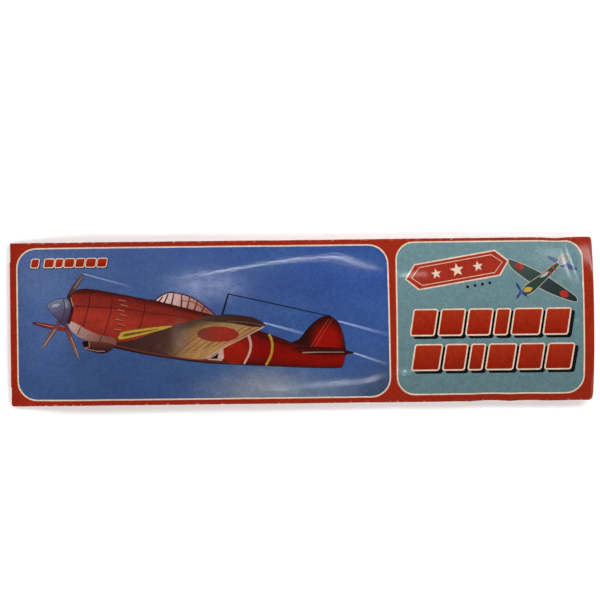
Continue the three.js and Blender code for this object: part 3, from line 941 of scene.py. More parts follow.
def printed_paper():
    """Coated paper: a four-colour print with a fine grain, under a clear, slightly pebbled gloss."""
    n = Nodes("printed_paper", 0.5, coat=0.35, coat_roughness=0.11)
    n.surface.inputs["Specular IOR Level"].default_value = 0.03
    grain = n.noise(2400, 2.0)
    mottle = n.noise(520, 3.0)
    colour = n.blend(n.printed(), n.levels(grain, 0.3, 0.7, 0.6, 0.92), 1.0, "MULTIPLY")
    colour = n.blend(colour, n.levels(mottle, 0.3, 0.7, 0.92, 1.08), 1.0, "MULTIPLY")
    near_fold = n.levels(n.off_middle(), (HALF_WIDTH - 0.7) * MM, (HALF_WIDTH - 0.1) * MM)
    chips = n.levels(n.noise(650, 4.0), 0.55, 0.68)
    n.colour(n.blend(colour, mix(PAPER, BORDER_RED, 0.2), n.times(near_fold, chips)))
    n.rough(n.levels(mottle, 0.3, 0.7, 0.5, 0.6))
    normal = n.bump(grain, 0.012, 0.5)
    n.link(normal, n.surface.inputs["Coat Normal"])
    return n.material


def plain_paper(name, tone, printed=False):
    """The uncoated side: matte, with fibres and a faint mottle. It can have printed margins."""
    n = Nodes(name, 0.78)
    fibres = n.noise(1400, 4.0, (1, 0.35, 1))
    mottle = n.noise(160, 3.0)
    colour = n.printed() if printed else tone
    colour = n.blend(colour, n.levels(fibres, 0.4, 0.75, 1.04, 0.86), 1.0, "MULTIPLY")
    n.colour(n.blend(colour, n.levels(mottle, 0.35, 0.7, 0.93, 1.05), 1.0, "MULTIPLY"))
    n.rough(n.levels(mottle, 0.3, 0.7, 0.7, 0.86))
    n.bump(fibres, 0.03)
    return n.material


def balsa(name, printed=False):
    """Balsa with its grain along X: pale streaks and dark flecks, which also show through the print."""
    n = Nodes(name, 0.8)
    streaks = n.noise(900, 4.0, (0.035, 1, 1))
    flecks = n.noise(2600, 2.0, (0.06, 1, 1))
    wood = n.blend(rgb(206, 176, 130), rgb(176, 140, 94), n.levels(streaks, 0.35, 0.7))
    wood = n.blend(wood, rgb(132, 98, 62), n.levels(flecks, 0.6, 0.72, 0.0, 0.6))
    if printed:
        ink = n.blend(n.printed(), n.levels(streaks, 0.3, 0.7, 1.08, 0.84), 1.0, "MULTIPLY")
        wood = n.blend(ink, wood, n.levels(flecks, 0.56, 0.75, 0.04, 0.45))
    n.colour(wood)
    n.rough(n.levels(streaks, 0.3, 0.7, 0.62, 0.82))
    n.bump(flecks, 0.05)
    return n.material


def plastic(name, tone, roughness):
    """Moulded plastic: glossy, with a faint mottle and fine scuffs."""
    n = Nodes(name, roughness, coat=0.15)
    mottle = n.noise(300, 3.0)
    scuffs = n.noise(1500, 3.0, (1, 0.2, 1))
    colour = n.blend(tone, mix(tone, rgb(0, 0, 0), 0.25), n.levels(mottle, 0.35, 0.7))
    n.colour(n.blend(colour, mix(tone, rgb(255, 255, 255), 0.3), n.levels(scuffs, 0.62, 0.8, 0.0, 0.5)))
    n.rough(n.levels(scuffs, 0.4, 0.7, roughness, roughness + 0.15))
    n.bump(mottle, 0.02, 0.3)
    return n.material


def steel(name):
    n = Nodes(name, 0.34, metallic=1.0)
    brushed = n.noise(2200, 2.0, (1, 1, 0.05))
    n.colour(n.blend(rgb(190, 192, 196), rgb(150, 152, 158), n.levels(brushed, 0.35, 0.7)))
    n.rough(n.levels(brushed, 0.3, 0.7, 0.28, 0.42))
    n.bump(brushed, 0.004, 0.3)
    return n.material


# ---- Packet geometry ----------------------------------------------------------------------------

front_low, front_high = (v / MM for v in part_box("packet_front"))
CLOSED_END, MOUTH, HALF_WIDTH = front_low.x, front_high.x, front_high.y
PAPER_THICK = 0.2
FOLD = 0.35  # outer radius of the long folds
CREASE_AT = 29.2  # where the print reaches the long folds
CREASE_LOW, CREASE_HIGH = 0.78, 2.8  # height of a long fold's middle at the closed end and further on
FLAT_BACK, RISE_LENGTH = 22.5, 26.0
FLAP_LENGTH, FLAP_LIFT = 12.0, 0.3
FOLD_TURN = 1.0  # length of print that goes round a fold
CROWN = 2.3
BACK_CURVE = 1.7
CORNER_WEAR = {"upper": 1.0, "lower": 2.0, "closed": 0.5}  # how far the packet's corners are rounded off
WANDER, LOOSE_WANDER, LOOSE_FROM = 0.16, 0.75, (38, 62)  # the long folds, and the lower one at the right
DENT = {"x": 92, "half": 4, "deep": 0.4}  # in the upper fold, near the mouth
ROWS_ROUND_FOLD = 7


def rise(x):
    return smoothstep(x, CLOSED_END, CLOSED_END + RISE_LENGTH)


def crease_height(x):
    return lerp(CREASE_LOW, CREASE_HIGH, rise(x))


# The front's ridge: x, height, and how far it is off the middle. It is high over the fuselage's nose and
# the propeller, and lower over the fuselage's tail.
RIDGE = [
    (-105, 9.2, 0),
    (-80, 9.8, 0),
    (-58, 10.2, 1),
    (-39, 10.0, 2),
    (-23, 8.9, 3),
    (-8, 7.85, 3.7),
    (3, 7.8, 0.6),
    (14, 8.0, -2),
    (27, 8.7, -0.6),
    (37, 9.9, 0),
    (50, 10.4, 0),
    (72, 10.6, 0),
    (105, 10.6, 0),
]


def through(points, x, kind):
    """A smooth curve through the points' values of a kind, with the slope of the neighbours at each."""
    last = len(points) - 1
    at = max([0] + [i for i in range(last) if points[i][0] <= x])
    slopes = []
    for i in (at, at + 1):
        before, after = points[max(0, i - 1)], points[min(last, i + 1)]
        slopes.append((after[kind] - before[kind]) / (after[0] - before[0]))
    start, end = points[at], points[at + 1]
    run = end[0] - start[0]
    t = min(1.0, max(0.0, (x - start[0]) / run))
    return (
        start[kind] * (1 + 2 * t) * (1 - t) ** 2
        + slopes[0] * run * t * (1 - t) ** 2
        + end[kind] * t * t * (3 - 2 * t)
        + slopes[1] * run * t * t * (t - 1)
    )


def apex(x):
    return lerp(1.3, through(RIDGE, x, 1), rise(x))


BUCKLE = {"from": (94.6, 29), "to": (102, 9), "width": 1.9, "depth": 0.26}


def waves(x, y):
    """The paper's soft unevenness, and a shallow buckle near the mouth."""
    start, run = Vector(BUCKLE["from"]), Vector(BUCKLE["to"]) - Vector(BUCKLE["from"])
    offset = Vector((x, y)) - start
    along = offset.dot(run) / run.length_squared
    off = (offset - run * along).length / (BUCKLE["width"] * (0.6 + max(0.0, along)))
    buckle = (
        BUCKLE["depth"] * math.exp(-off * off)
        * smoothstep(along, -0.2, 0.2) * (1 - smoothstep(along, 0.7, 1.2))
    )
    wide = 0.09 * noise.noise(Vector((x / 30, y / 18, 2)))
    return wide + 0.02 * noise.noise(Vector((x / 11, y / 9, 5))) - buckle


def worn_corner(x, side):
    """How far a long fold is pulled in at the rounded corners of the packet."""
    radius = CORNER_WEAR["upper"] if side > 0 else CORNER_WEAR["lower"]
    short = max(0.0, x - (MOUTH - radius))
    worn = radius - math.sqrt(max(0.0, radius**2 - short**2))
    return worn + max(0.0, CORNER_WEAR["closed"] - (x - CLOSED_END)) * (side < 0)


def fold_angles(x):
    """Slope of the front and of the back where they meet a long fold."""
    front = math.atan((apex(x) - crease_height(x)) * CROWN / HALF_WIDTH)
    back = math.atan((crease_height(x) - FOLD - FLAP_LIFT / 2) * BACK_CURVE / (HALF_WIDTH - FLAT_BACK))
    return front, back


def fold_place(x, side):
    """The fold's middle, y without its sign and z. It wanders a little, most at the lower right, and there
    is a dent near the mouth's upper corner."""
    wander = WANDER if side > 0 else lerp(WANDER, LOOSE_WANDER, smoothstep(x, *LOOSE_FROM))
    wobble = wander * abs(noise.noise(Vector((x / 15, 9 * side, 4))))
    dent = DENT["deep"] * math.exp(-(((x - DENT["x"]) / DENT["half"]) ** 2)) * (side > 0)
    return HALF_WIDTH - FOLD - worn_corner(x, side) - wobble - dent, crease_height(x)


def front_point(x, y):
    """The front's outer face, with y along the print: past CREASE_AT it goes round the fold."""
    side = 1 if y > 0 else -1
    slope, back_slope = fold_angles(x)
    middle_y, middle_z = fold_place(x, side)
    if abs(y) > CREASE_AT:
        angle = lerp(slope, math.pi - back_slope, (abs(y) - CREASE_AT) / FOLD_TURN)
        return Vector((x, side * (middle_y + FOLD * math.sin(angle)), middle_z + FOLD * math.cos(angle)))
    offset = through(RIDGE, x, 2)
    share = (y - offset) / (side * CREASE_AT - offset) if side * (y - offset) > 0 else 0
    if side * (y - offset) < 0:
        share = (y - offset) / (-side * CREASE_AT - offset)
    edge_y = middle_y + FOLD * math.sin(slope)
    edge_z = middle_z + FOLD * math.cos(slope)
    height = edge_z + (apex(x) - edge_z) * (1 - share**CROWN)
    calm = (1 - share**4) * rise(x)
    pulled = lerp(y, side * edge_y * abs(y) / CREASE_AT, (abs(y) / CREASE_AT) ** 6)
    return Vector((x, pulled, height + waves(x, y) * calm))


def placed(piece, body, slot, *nodes):
    """The piece rides on a CAD body and stands for CAD nodes, which it hides; `slot` is not used."""
    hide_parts(*nodes)
    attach(piece, body)


def make_front(materials):
    reach = CREASE_AT + FOLD_TURN
    outline = [(CLOSED_END, -reach), (MOUTH, -reach), (MOUTH, reach), (CLOSED_END, reach)]
    # The picture's layers end with a patch of painted sheen over the wing's root.
    layers = panels() + aeroplane() + [painted_sheen_patch()]
    layers += small_label() + badge() + small_glider() + title_rows()
    turns = [CREASE_AT + FOLD_TURN * k / ROWS_ROUND_FOLD for k in range(ROWS_ROUND_FOLD)]
    rows = turns + [-y for y in turns]
    front = sheet(
        "front_panel", outline, layers, BORDER_RED, front_point, PAPER_THICK, materials, rows=rows
    )
    placed(front, "packet", "printed_paper", "packet_front")


# ---- The packet's back --------------------------------------------------------------------------

LAP_END, LAP_STEP = 6.0, 2.0  # the laps' glued overlap, and the run in which the inner one steps over
BACK_EDGE = 29.3  # y of a lap's outer end on the flat sheet
RED_MARGIN = 3.2
JOIN = 0.02  # gap between two pieces of one sheet of paper
LIFT_FALL = (1.0, 4.5)  # how far before and after the flap's end the laps come down from it


def back_lift(x):
    """The flap under the laps lifts them at the closed end; they are down again where the wing begins."""
    flap_end = CLOSED_END + FLAP_LENGTH
    return FLAP_LIFT * (1 - smoothstep(x, flap_end - LIFT_FALL[0], flap_end + LIFT_FALL[1]))


def back_place(x, y):
    """A point of the back's outer face, from its place on the flat sheet."""
    side = 1 if y > 0 else -1
    middle_y, middle_z = fold_place(x, side)
    slope = fold_angles(x)[1]
    edge_y = middle_y + FOLD * math.sin(slope) - JOIN
    edge_z = middle_z - FOLD * math.cos(slope)
    past = max(0.0, (abs(y) - FLAT_BACK) / (BACK_EDGE - FLAT_BACK))
    flat_y = min(abs(y), FLAT_BACK)
    low = back_lift(x)
    height = low + (edge_z - low) * past**BACK_CURVE
    return Vector((x, side * (flat_y + (edge_y - FLAT_BACK) * past), height))


def outer_lap(x, v):
    """The lap from the lower fold, seen from behind: v runs against y."""
    return back_place(x, -v)


def inner_lap(x, v):
    """The lap from the upper fold; it steps up on to the outer lap."""
    step = (PAPER_THICK + 0.05) * (1 - smoothstep(-v, LAP_END + 0.3, LAP_END + LAP_STEP))
    return back_place(x, -v) + Vector((0, 0, step))


def make_laps(materials):
    margin = flat(BORDER_RED)
    for name, surface, low, high, node in (
        ("outer_lap", outer_lap, -LAP_END, BACK_EDGE, "back_lap_outer"),
        ("inner_lap", inner_lap, -BACK_EDGE, LAP_END, "back_lap_inner"),
    ):
        outline = [(CLOSED_END, low), (MOUTH, low), (MOUTH, high), (CLOSED_END, high)]
        edge = high if high == BACK_EDGE else low
        inward = edge - math.copysign(RED_MARGIN, edge)
        strip = [(CLOSED_END, inward), (MOUTH, inward), (MOUTH, edge), (CLOSED_END, edge)]
        steps = [math.copysign(LAP_END + LAP_STEP * k / 5, low) for k in range(1, 6)]
        # The front's own step, so that both sheets have the same corners along the fold that they share.
        lap = sheet(
            name, outline, [layer(margin, strip)], PAPER, surface, PAPER_THICK, materials, rows=steps,
            back_step=1.5,
        )
        placed(lap, "packet", "paper_back", node)


FLAP_TURN = 0.24  # outer radius of the flap's turns
FLAP_CORNER, FLAP_MARGIN, FLAP_ROWS = 4.0, 2.6, 24


def flap_section(run, top):
    """x and z after a run down round the closed end from the height `top`, and along under the laps."""
    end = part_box("end_flap")[0].x / MM
    low = 0.05
    turn = FLAP_TURN * math.pi / 2
    drop = top - low - 2 * FLAP_TURN
    if run < turn:
        a = run / FLAP_TURN
        return end + FLAP_TURN * (1 - math.sin(a)), top - FLAP_TURN * (1 - math.cos(a))
    if run < turn + drop:
        return end, top - FLAP_TURN - (run - turn)
    if run < 2 * turn + drop:
        a = (run - turn - drop) / FLAP_TURN
        return end + FLAP_TURN * (1 - math.cos(a)), low + FLAP_TURN * (1 - math.sin(a))
    return end + FLAP_TURN + (run - 2 * turn - drop), low


def flap_surface(y, run):
    x, z = flap_section(run, front_point(CLOSED_END, y).z - JOIN)
    return Vector((x, y, z))


def make_flap(materials):
    turns = FLAP_TURN * math.pi + front_point(CLOSED_END, 0).z - 2 * FLAP_TURN
    length = turns + FLAP_LENGTH - 0.3
    half, corner = FLAT_BACK, FLAP_CORNER
    outline = [
        (-half, 0), (half, 0), (half, turns + 1), (half - corner, length), (corner - half, length),
        (-half, turns + 1),
    ]
    strip = [(-half, 0), (half, 0), (half, FLAP_MARGIN), (-half, FLAP_MARGIN)]
    rows = [turns * k / FLAP_ROWS for k in range(1, FLAP_ROWS + 1)]
    flap = sheet(
        "end_flap_fold", outline, [layer(flat(BORDER_RED), strip)], PAPER, flap_surface, PAPER_THICK,
        materials, 1.5, rows,
    )
    placed(flap, "packet", "paper_back", "end_flap")


# ---- The balsa sheets ---------------------------------------------------------------------------

KIT_RED = rgb(150, 36, 22)
KIT_DARK = rgb(52, 22, 18)


def bezier(a, b, c, d, steps=10):
    """Points after `a` on the cubic curve from a to d."""
    made = []
    for k in range(1, steps + 1):
        t = k / steps
        weights = ((1 - t) ** 3, 3 * t * (1 - t) ** 2, 3 * t * t * (1 - t), t**3)
        made.append(tuple(sum(w * p[i] for w, p in zip(weights, (a, b, c, d))) for i in (0, 1)))
    return made


def planform(middle, half, lead, root, tip, sweep):
    """A straight-tapered surface with round tips, its leading edge towards +Y."""
    reach = half - tip / 2
    round_to = reach + (half - reach) * 4 / 3
    lead_y, trail_y = lead - sweep, lead - sweep - tip
    right = [(0, lead), (reach, lead_y)]
    right += bezier((reach, lead_y), (round_to, lead_y - 1), (round_to, trail_y + 2), (reach, trail_y), 16)
    right.append((root * 0.2, lead - root))
    left = [(-x, y) for x, y in right[:0:-1]]
    return [(middle + x, y) for x, y in right + left]


def surface_art(middle, half, lead, root, tip, sweep, roundels):
    """The print on a wing or tailplane: a light leading edge, ribs, hinge lines and plain discs."""
    layers = []
    for side in (1, -1):

        def at(out, back, side=side):
            """A point at shares of the half span and of the chord."""
            front = lead - sweep * out
            chord = lerp(root, tip, out)
            return (middle + side * half * out, front - chord * back)

        band = [at(0.16, 0.02), at(0.8, 0.02), at(0.8, 0.09), at(0.16, 0.09)]
        layers.append(layer(flat(OCHRE), band if side > 0 else band[::-1]))
        for out in (0.2, 0.32, 0.44, 0.56, 0.68, 0.8):
            rib = [at(out, 0.12), at(out, 0.7)]
            layers.append(layer(flat(rgb(116, 22, 14)), stroke(rib, 0.35)))
        hinge = [at(0.42, 0.93), at(0.42, 0.74), at(0.82, 0.74), at(0.82, 0.93)]
        layers.append(layer(flat(KIT_DARK), stroke(hinge, 0.4)))
        if roundels:
            spot = at(0.66, 0.44)
            layers.append(layer(flat(CREAM), ellipse(spot, 6.4, 6.4, sides=40)))
            layers.append(layer(flat(DEEP_RED), ellipse(spot, 5.6, 5.6, sides=40)))
    fold = [(middle, lead - 0.6), (middle, lead - root + 0.6)]
    return layers + [layer(flat(CREAM), stroke(fold, 0.5))]


def shade_to(start, end):
    return ramp(rgb(164, 42, 26), rgb(120, 22, 14), start, end)


def make_flying_surface(name, box, tip, root_share, sweep, roundels, materials):
    low, high = (v / MM for v in box)
    middle, half = (low.x + high.x) / 2, (high.x - low.x) / 2
    lead, root = high.y, (high.y - low.y) * root_share
    sizes = (middle, half, lead, root, tip, sweep)
    outline = planform(*sizes)
    layers = [layer(shade_to((middle, lead), (middle, lead - root)), grown(outline, 0.5))]
    layers += surface_art(*sizes, roundels)
    return board(name, [outline], layers, KIT_RED, low.z, high.z, materials)


NOSE_TAB, TAB_DEPTH = 8.0, 3.6
WING_SLOT = {"start": 36.0, "length": 41.4, "height": 1.8, "y": -8.0}
TAIL_SLOT = {"length": 20.6, "height": 1.8, "y": 2.0}


def fuselage_outline(nose, tail):
    """The glider's side view with its nose towards -X; the tailplane's slot is cut in from behind."""
    length = tail - nose
    slot_low, slot_high = TAIL_SLOT["y"], TAIL_SLOT["y"] + TAIL_SLOT["height"]
    slot_start = length - TAIL_SLOT["length"]
    points = [(0, -NOSE_TAB), (TAB_DEPTH, -NOSE_TAB), (TAB_DEPTH, -11)]
    points += bezier(points[-1], (14, -14.5), (30, -15.5), (60, -15.5))
    points += bezier(points[-1], (95, -15), (125, -10), (length - 7, -4.5))
    points += bezier(points[-1], (length - 3, -4.2), (length - 0.7, -2), (length, slot_low), 6)
    points += [(slot_start, slot_low), (slot_start, slot_high), (length, slot_high)]
    points += bezier(points[-1], (length + 0.2, 12), (length - 4, 17.5), (length - 12, 17.5))
    points += bezier(points[-1], (length - 19, 17), (length - 22, 9), (length - 36, 6.5))
    points += bezier(points[-1], (112, 8.5), (98, 11), (92, 12.5))
    points += bezier(points[-1], (84, 16.5), (72, 18), (63, 17))
    points += bezier(points[-1], (56.3, 15.3), (51, 13.5), (47, 11.5), 6)
    points += bezier(points[-1], (34, 11.5), (16, 11.5), (TAB_DEPTH, 10.5))
    points += [(TAB_DEPTH, NOSE_TAB), (0, NOSE_TAB)]
    return [(nose + x, y) for x, y in points]


def fuselage_art(nose, tail):
    """A glazed canopy, cowling rings and louvres, a light stripe, a disc, two bands and the rudder."""
    layers = [layer(shade_to((nose, 8), (nose, -14)), grown(fuselage_outline(nose, tail), 0.5))]

    def line(points, width, colour, steps=5):
        smooth = curve([(nose + x, y) for x, y in points], closed=False, steps=steps)
        layers.append(layer(flat(colour), stroke(smooth, width)))

    glass = [(49, 11.2), (56, 14.6), (64, 16.2), (74, 16.0), (84, 13.6), (88, 11.4), (68, 10.2)]
    layers.append(layer(flat(rgb(196, 176, 166)), curve([(nose + x, y) for x, y in glass])))
    for x, top in ((57, 14.8), (65, 16.2), (73, 16.0), (81, 14.4)):
        line([(x + 0.8, 10.6), (x, top)], 0.6, KIT_DARK)
    line([(47, 11.0), (60, 10.2), (76, 10.2), (91, 11.6)], 0.6, KIT_DARK)
    for x in (12, 25):
        line([(x + 1, 11.0), (x, 0), (x + 1, -13.6)], 0.4, KIT_DARK)
    for k in range(6):
        line([(28, 7 - 2.6 * k), (31, 6.6 - 2.6 * k)], 0.6, rgb(190, 110, 84))
    line([(6, 4), (60, 3.4), (110, 1.4), (142, 0.6)], 0.7, OCHRE)
    layers.append(layer(flat(CREAM), ellipse((nose + 99, -2.4), 6.3, 6.3, sides=40)))
    layers.append(layer(flat(DEEP_RED), ellipse((nose + 99, -2.4), 5.5, 5.5, sides=40)))
    line([(112.5, 8.4), (113.2, 0), (112.5, -12)], 1.5, CREAM)
    line([(121, 7.2), (121.6, 0), (121, -10.8)], 1.5, OCHRE)
    line([(156, 4.4), (156.6, 10), (154.6, 17.2)], 0.5, KIT_DARK)
    return layers


def make_balsa():
    raw = balsa("raw_balsa")
    materials = (balsa("printed_balsa", printed=True), raw, raw)
    wing = make_flying_surface("wing_sheet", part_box("wing"), 19, 1.0, 6, True, materials)
    placed(wing, "wing", "printed_balsa", "wing")
    tail = make_flying_surface("tailplane_sheet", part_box("tailplane"), 12, 1.0, 4, False, materials)
    placed(tail, "tailplane", "printed_balsa", "tailplane")
    low, high = (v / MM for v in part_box("fuselage"))
    middle = low.x + WING_SLOT["start"] + WING_SLOT["length"] / 2
    half_length, half_height = WING_SLOT["length"] / 2, WING_SLOT["height"] / 2
    slot = rounded_box(
        middle - half_length, WING_SLOT["y"] - half_height, middle + half_length,
        WING_SLOT["y"] + half_height, 0.3, 2,
    )
    loops = [fuselage_outline(low.x, high.x), slot]
    fuselage = board(
        "fuselage_sheet", loops, fuselage_art(low.x, high.x), KIT_RED, low.z, high.z, materials
    )
    placed(fuselage, "fuselage", "printed_balsa", "fuselage")


# ---- The nose unit ------------------------------------------------------------------------------

SLOT_WIDTH, SLOT_DEEP = 2.6, 3.6
POCKET = {"long": 10.0, "wide": 1.5, "deep": 3.0}
SHAFT_RADIUS, HEAD_RADIUS, HEAD_THICK, RUNNING = 0.6, 1.1, 0.4, 0.1
BLADE = {"count": 3, "root": 2.2, "chord": 4.2, "tip": 2.4, "thick": 0.8, "pitch": (34, 14)}


def box_loop(x, wide, long, radius):
    return rounded_box(x - wide / 2, -long / 2, x + wide / 2, long / 2, radius, 5)


def make_nose_block(material):
    """The moulded block: a slot for the fuselage's nose, a pocket in each jaw and the shaft's bore."""
    low, high = (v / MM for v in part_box("nose_block"))
    x = (low.x + high.x) / 2
    loop = box_loop(x, high.x - low.x, high.y - low.y, 2.4)
    block = board("nose_block_body", [loop], [], KIT_RED, low.z, high.z, [material] * 3, 0.35, 3.0)
    below = low.z - 1
    radius, above = SHAFT_RADIUS + RUNNING, high.z + 1
    bore = [(0, below), (radius, below), (radius, above), (0, above)]
    cutters = [
        board("slot", [box_loop(x, SLOT_WIDTH, 40, 0.1)], [], KIT_RED, below, low.z + SLOT_DEEP,
              [material] * 3, 0.1, 40),
        lathe("bore", bore, (x, 0), material, 24),
    ]
    jaw = (high.x - low.x + SLOT_WIDTH) / 4
    for side in (-1, 1):
        loop = box_loop(x + side * jaw, POCKET["wide"], POCKET["long"], 0.15)
        cutters.append(
            board("pocket", [loop], [], KIT_RED, below, low.z + POCKET["deep"], [material] * 3, 0.1, 20)
        )
    carved(block, cutters, "DIFFERENCE")
    placed(block, "nose_unit", "block_plastic", "nose_block")


def make_weights(material):
    for node in ("nose_weight_left", "nose_weight_right"):
        low, high = (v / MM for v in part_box(node))
        loop = box_loop((low.x + high.x) / 2, high.x - low.x, high.y - low.y, 0.2)
        slug = board(node + "_slug", [loop], [], KIT_RED, low.z, high.z, [material] * 3, 0.12, 2.0)
        placed(slug, "nose_unit", "steel", node)


def make_shaft(material):
    low, high = (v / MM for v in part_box("propeller_shaft"))
    x, head_top = (low.x + high.x) / 2, low.z + HEAD_THICK
    profile = [
        (0, low.z), (HEAD_RADIUS - 0.15, low.z), (HEAD_RADIUS, low.z + 0.15),
        (HEAD_RADIUS, head_top - 0.08), (HEAD_RADIUS - 0.08, head_top), (SHAFT_RADIUS, head_top),
        (SHAFT_RADIUS, high.z - 0.15), (SHAFT_RADIUS - 0.15, high.z), (0, high.z),
    ]
    placed(lathe("shaft_pin", profile, (x, 0), material), "propeller", "steel", "propeller_shaft")


def make_spinner(material):
    """A low dome with a blind hole for the shaft's end."""
    low, high = (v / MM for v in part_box("spinner"))
    radius, height, hole = (high.x - low.x) / 2, high.z - low.z, SHAFT_RADIUS + RUNNING
    ceiling = high.z - 0.6
    profile = [(0, ceiling), (hole, ceiling), (hole, low.z), (radius - 0.12, low.z)]
    for k in range(15):
        a = math.radians(3 + 85 * k / 14)
        profile.append((radius * math.cos(a), low.z + height * math.sin(a)))
    profile.append((0, high.z))
    centre = ((low.x + high.x) / 2, 0)
    placed(lathe("spinner_dome", profile, centre, material, 64), "propeller", "spinner_plastic", "spinner")


def blade(x, middle, tip_radius, turn, material):
    """A blade of lens-shaped sections that narrow and flatten towards a round tip."""
    sections, sides = 26, 20
    places = []
    for i in range(sections):
        t = (i / (sections - 1)) ** 0.8
        swell = math.sin(math.pi * min(1, 0.2 + 0.62 * t))
        rounding = math.sqrt(max(0.01, 1 - max(0, (t - 0.82) / 0.18) ** 2))
        chord = lerp(BLADE["tip"], BLADE["chord"], swell) * rounding / 2
        thick = BLADE["thick"] * lerp(1, 0.6, t) * rounding**0.5 / 2
        pitch = math.radians(lerp(*BLADE["pitch"], t))
        radius = lerp(BLADE["root"], tip_radius, t)
        for k in range(sides):
            a = 2 * math.pi * k / sides
            u, v = chord * math.cos(a), thick * math.sin(a)
            across = u * math.cos(pitch) - v * math.sin(pitch)
            up = u * math.sin(pitch) + v * math.cos(pitch)
            spot = Vector((radius, across, up))
            spot.rotate(Matrix.Rotation(turn, 3, "Z"))
            places.append((x + spot.x, spot.y, middle + spot.z))
    rings = [[i * sides + k for k in range(sides)] for i in range(sections)]
    faces = [face for a, b in zip(rings, rings[1:]) for face in walls(b, a)]
    faces += [tuple(rings[0][::-1]), tuple(rings[-1])]
    return make_piece("blade", places, [faces], [], [material])


def make_propeller(material):
    low, high = (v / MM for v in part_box("propeller"))
    spinner_low, spinner_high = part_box("spinner")
    x = spinner_low.x / MM + (spinner_high.x - spinner_low.x) / MM / 2
    hub, edge, bore = 3.1, 0.25, SHAFT_RADIUS + RUNNING
    profile = [
        (0, low.z), (hub - edge, low.z), (hub, low.z + edge), (hub, high.z - edge), (hub - edge, high.z),
        (0, high.z),
    ]
    body = lathe("propeller_body", profile, (x, 0), material)
    middle = (low.z + high.z) / 2
    turns = [2 * math.pi * k / BLADE["count"] for k in range(BLADE["count"])]
    carved(body, [blade(x, middle, high.x - x, turn, material) for turn in turns], "UNION")
    hole = [(0, low.z - 1), (bore, low.z - 1), (bore, high.z + 1), (0, high.z + 1)]
    carved(body, [lathe("bore", hole, (x, 0), material, 24)], "DIFFERENCE")
    placed(body, "propeller", "propeller_plastic", "propeller")


def make_kit():
    make_balsa()
    metal = steel("steel")
    make_nose_block(plastic("block_plastic", rgb(36, 46, 82), 0.42))
    make_weights(metal)
    make_shaft(metal)
    make_propeller(plastic("propeller_plastic", rgb(34, 52, 108), 0.34))
    make_spinner(plastic("spinner_plastic", rgb(94, 104, 120), 0.3))


# ---- Stage --------------------------------------------------------------------------------------

VIEW_WIDTH = 216.5  # width of the view at the packet, in millimetres
LENS, SENSOR = 180.0, 36.0
CAMERA_HEIGHT = VIEW_WIDTH * LENS / SENSOR
ROLL = 0.67  # the packet lies turned by this many degrees
CENTRE_BELOW = 7.8  # how far below the view's centre the packet's centre is
CENTRE_ASIDE = -0.35
VIEW_PLANE = 2  # height at which the view has its width
FLOOR_GLOW = 0.1  # the floor's own light, which lifts the soft shadow
SOFTBOX_AWAY = 1.5  # metres


def make_floor():
    n = Nodes("studio_floor", 0.9)
    n.colour(n.blend(rgb(250, 250, 249), rgb(246, 246, 246), n.noise(6, 2.0)))
    n.surface.inputs["Emission Color"].default_value = (1, 1, 1, 1)
    n.surface.inputs["Emission Strength"].default_value = FLOOR_GLOW
    mesh = bpy.data.meshes.new("studio_floor")
    half, low = 3.0, -0.0001
    corners = [(-half, -half, low), (half, -half, low), (half, half, low), (-half, half, low)]
    mesh.from_pydata(corners, [], [(0, 1, 2, 3)])
    mesh.materials.append(n.material)
    floor = bpy.data.objects.new("studio_floor", mesh)
    bpy.context.scene.collection.objects.link(floor)


def make_camera():
    data = bpy.data.cameras.new("camera")
    data.lens = LENS
    data.sensor_width = SENSOR
    data.clip_start = 0.01
    camera = bpy.data.objects.new("camera", data)
    turn = math.radians(-ROLL)
    aside = Vector((CENTRE_ASIDE, CENTRE_BELOW))
    x = aside.x * math.cos(turn) - aside.y * math.sin(turn)
    y = aside.x * math.sin(turn) + aside.y * math.cos(turn)
    camera.location = Vector((x, y, CAMERA_HEIGHT + VIEW_PLANE)) * MM
    camera.rotation_euler = (0, 0, turn)
    bpy.context.scene.collection.objects.link(camera)
    bpy.context.scene.camera = camera
    return camera


def area_light(name, place, target, size, power):
    data = bpy.data.lights.new(name, "AREA")
    data.shape = "RECTANGLE"
    data.size, data.size_y = size
    data.energy = power
    light = bpy.data.objects.new(name, data)
    light.location = place
    light.visible_camera = False
    light.rotation_euler = (Vector(place) - Vector(target)).to_track_quat("Z", "Y").to_euler()
    bpy.context.scene.collection.objects.link(light)
    return light


def mirrored(camera, x, y):
    """The front's point at (x, y), and the direction in which the camera sees it reflect."""
    point = front_point(x, y) * MM
    normal = normal_of(front_point, x, y)
    return point, (point - camera.location).normalized().reflect(normal)


def glint(name, camera, first, second, away, width, power, beam):
    """A strip light whose reflection on the packet's front runs from the point `first` to `second`. It
    shines in a narrow beam; `power` is what it would take to be as bright in all directions."""
    ends = []
    for x, y in (first, second):
        point, direction = mirrored(camera, x, y)
        ends.append(point + direction * away)
    middle = (ends[0] + ends[1]) / 2
    target = front_point(*(Vector(first) + Vector(second)) / 2) * MM
    half = math.radians(beam / 2)
    share = 1 - half / math.tan(half)
    light = area_light(name, middle, target, ((ends[1] - ends[0]).length, width), power * share)
    light.data.spread = 2 * half
    back = (middle - target).normalized()
    along = (ends[1] - ends[0]).normalized()
    up = back.cross(along).normalized()
    light.rotation_euler = Matrix((up.cross(back), up, back)).transposed().to_euler()


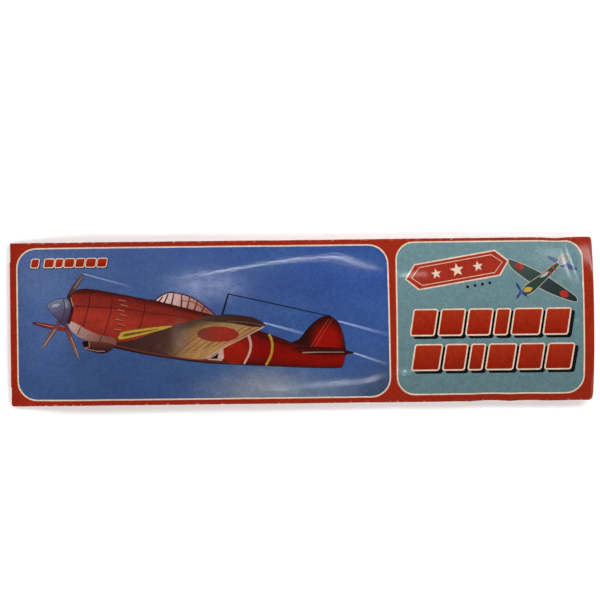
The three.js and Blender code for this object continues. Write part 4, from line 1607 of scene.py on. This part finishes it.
SOFTBOXES = {  # compass direction and tilt from overhead in degrees, size in metres, power
    "key": (40, 58, 0.8, 16),
    "key_low": (-40, 58, 0.8, 13),
    "fill": (152, 74, 0.8, 22),
    "fill_low": (-152, 74, 0.8, 19),
}
GLINTS = {  # the reflection's ends, the light's distance and width in metres, power, beam in degrees
    "upper_glint": ((-3, 22.4), (15, 22.4), 0.8, 0.009, 0.16, 16),
    "upper_tail": ((16, 22.3), (36, 16.1), 0.8, 0.009, 0.14, 16),
    "lower_glint": ((9, -22), (38, -18.7), 0.5, 0.005, 0.09, 11),
    "buckle_glint": ((93.6, 26.5), (99.4, 11.5), 0.8, 0.05, 2.9, 30),
}


def make_world():
    """A dim dome, darkest overhead."""
    world = bpy.data.worlds.new("studio")
    world.use_nodes = True
    tree = world.node_tree
    place = tree.nodes.new("ShaderNodeTexCoord")
    split = tree.nodes.new("ShaderNodeSeparateXYZ")
    height = tree.nodes.new("ShaderNodeMapRange")
    height.interpolation_type = "SMOOTHSTEP"
    for key, value in (("From Min", 0.15), ("From Max", 0.65), ("To Min", 0.25), ("To Max", 0.02)):
        height.inputs[key].default_value = value
    tree.links.new(place.outputs["Generated"], split.inputs["Vector"])
    tree.links.new(split.outputs["Z"], height.inputs["Value"])
    tree.links.new(height.outputs["Result"], tree.nodes["Background"].inputs["Strength"])
    tree.nodes["Background"].inputs["Color"].default_value = (1.0, 1.0, 1.0, 1)
    bpy.context.scene.world = world


def make_lights(camera):
    """Four softboxes round the packet, and small lights for the narrow reflections on its gloss."""
    make_world()
    for name, (compass, tilt, size, power) in SOFTBOXES.items():
        across, up = math.sin(math.radians(tilt)), math.cos(math.radians(tilt))
        turn = math.radians(compass)
        place = Vector((across * math.cos(turn), across * math.sin(turn), up)) * SOFTBOX_AWAY
        area_light(name, place, (0, 0, 0), (size, size), power)
    for name, values in GLINTS.items():
        glint(name, camera, *values)


def main():
    bpy.context.scene.view_settings.view_transform = "Standard"
    camera = make_camera()
    make_floor()
    make_lights(camera)
    paper = printed_paper()
    inside = plain_paper("paper_inside", PAPER)
    cut = plain_paper("paper_cut", mix(PAPER, rgb(160, 60, 40), 0.25))
    make_front((paper, inside, cut))
    back = plain_paper("back_paper", PAPER, printed=True)
    make_laps((back, inside, cut))
    make_flap((back, inside, cut))
    make_kit()


main()
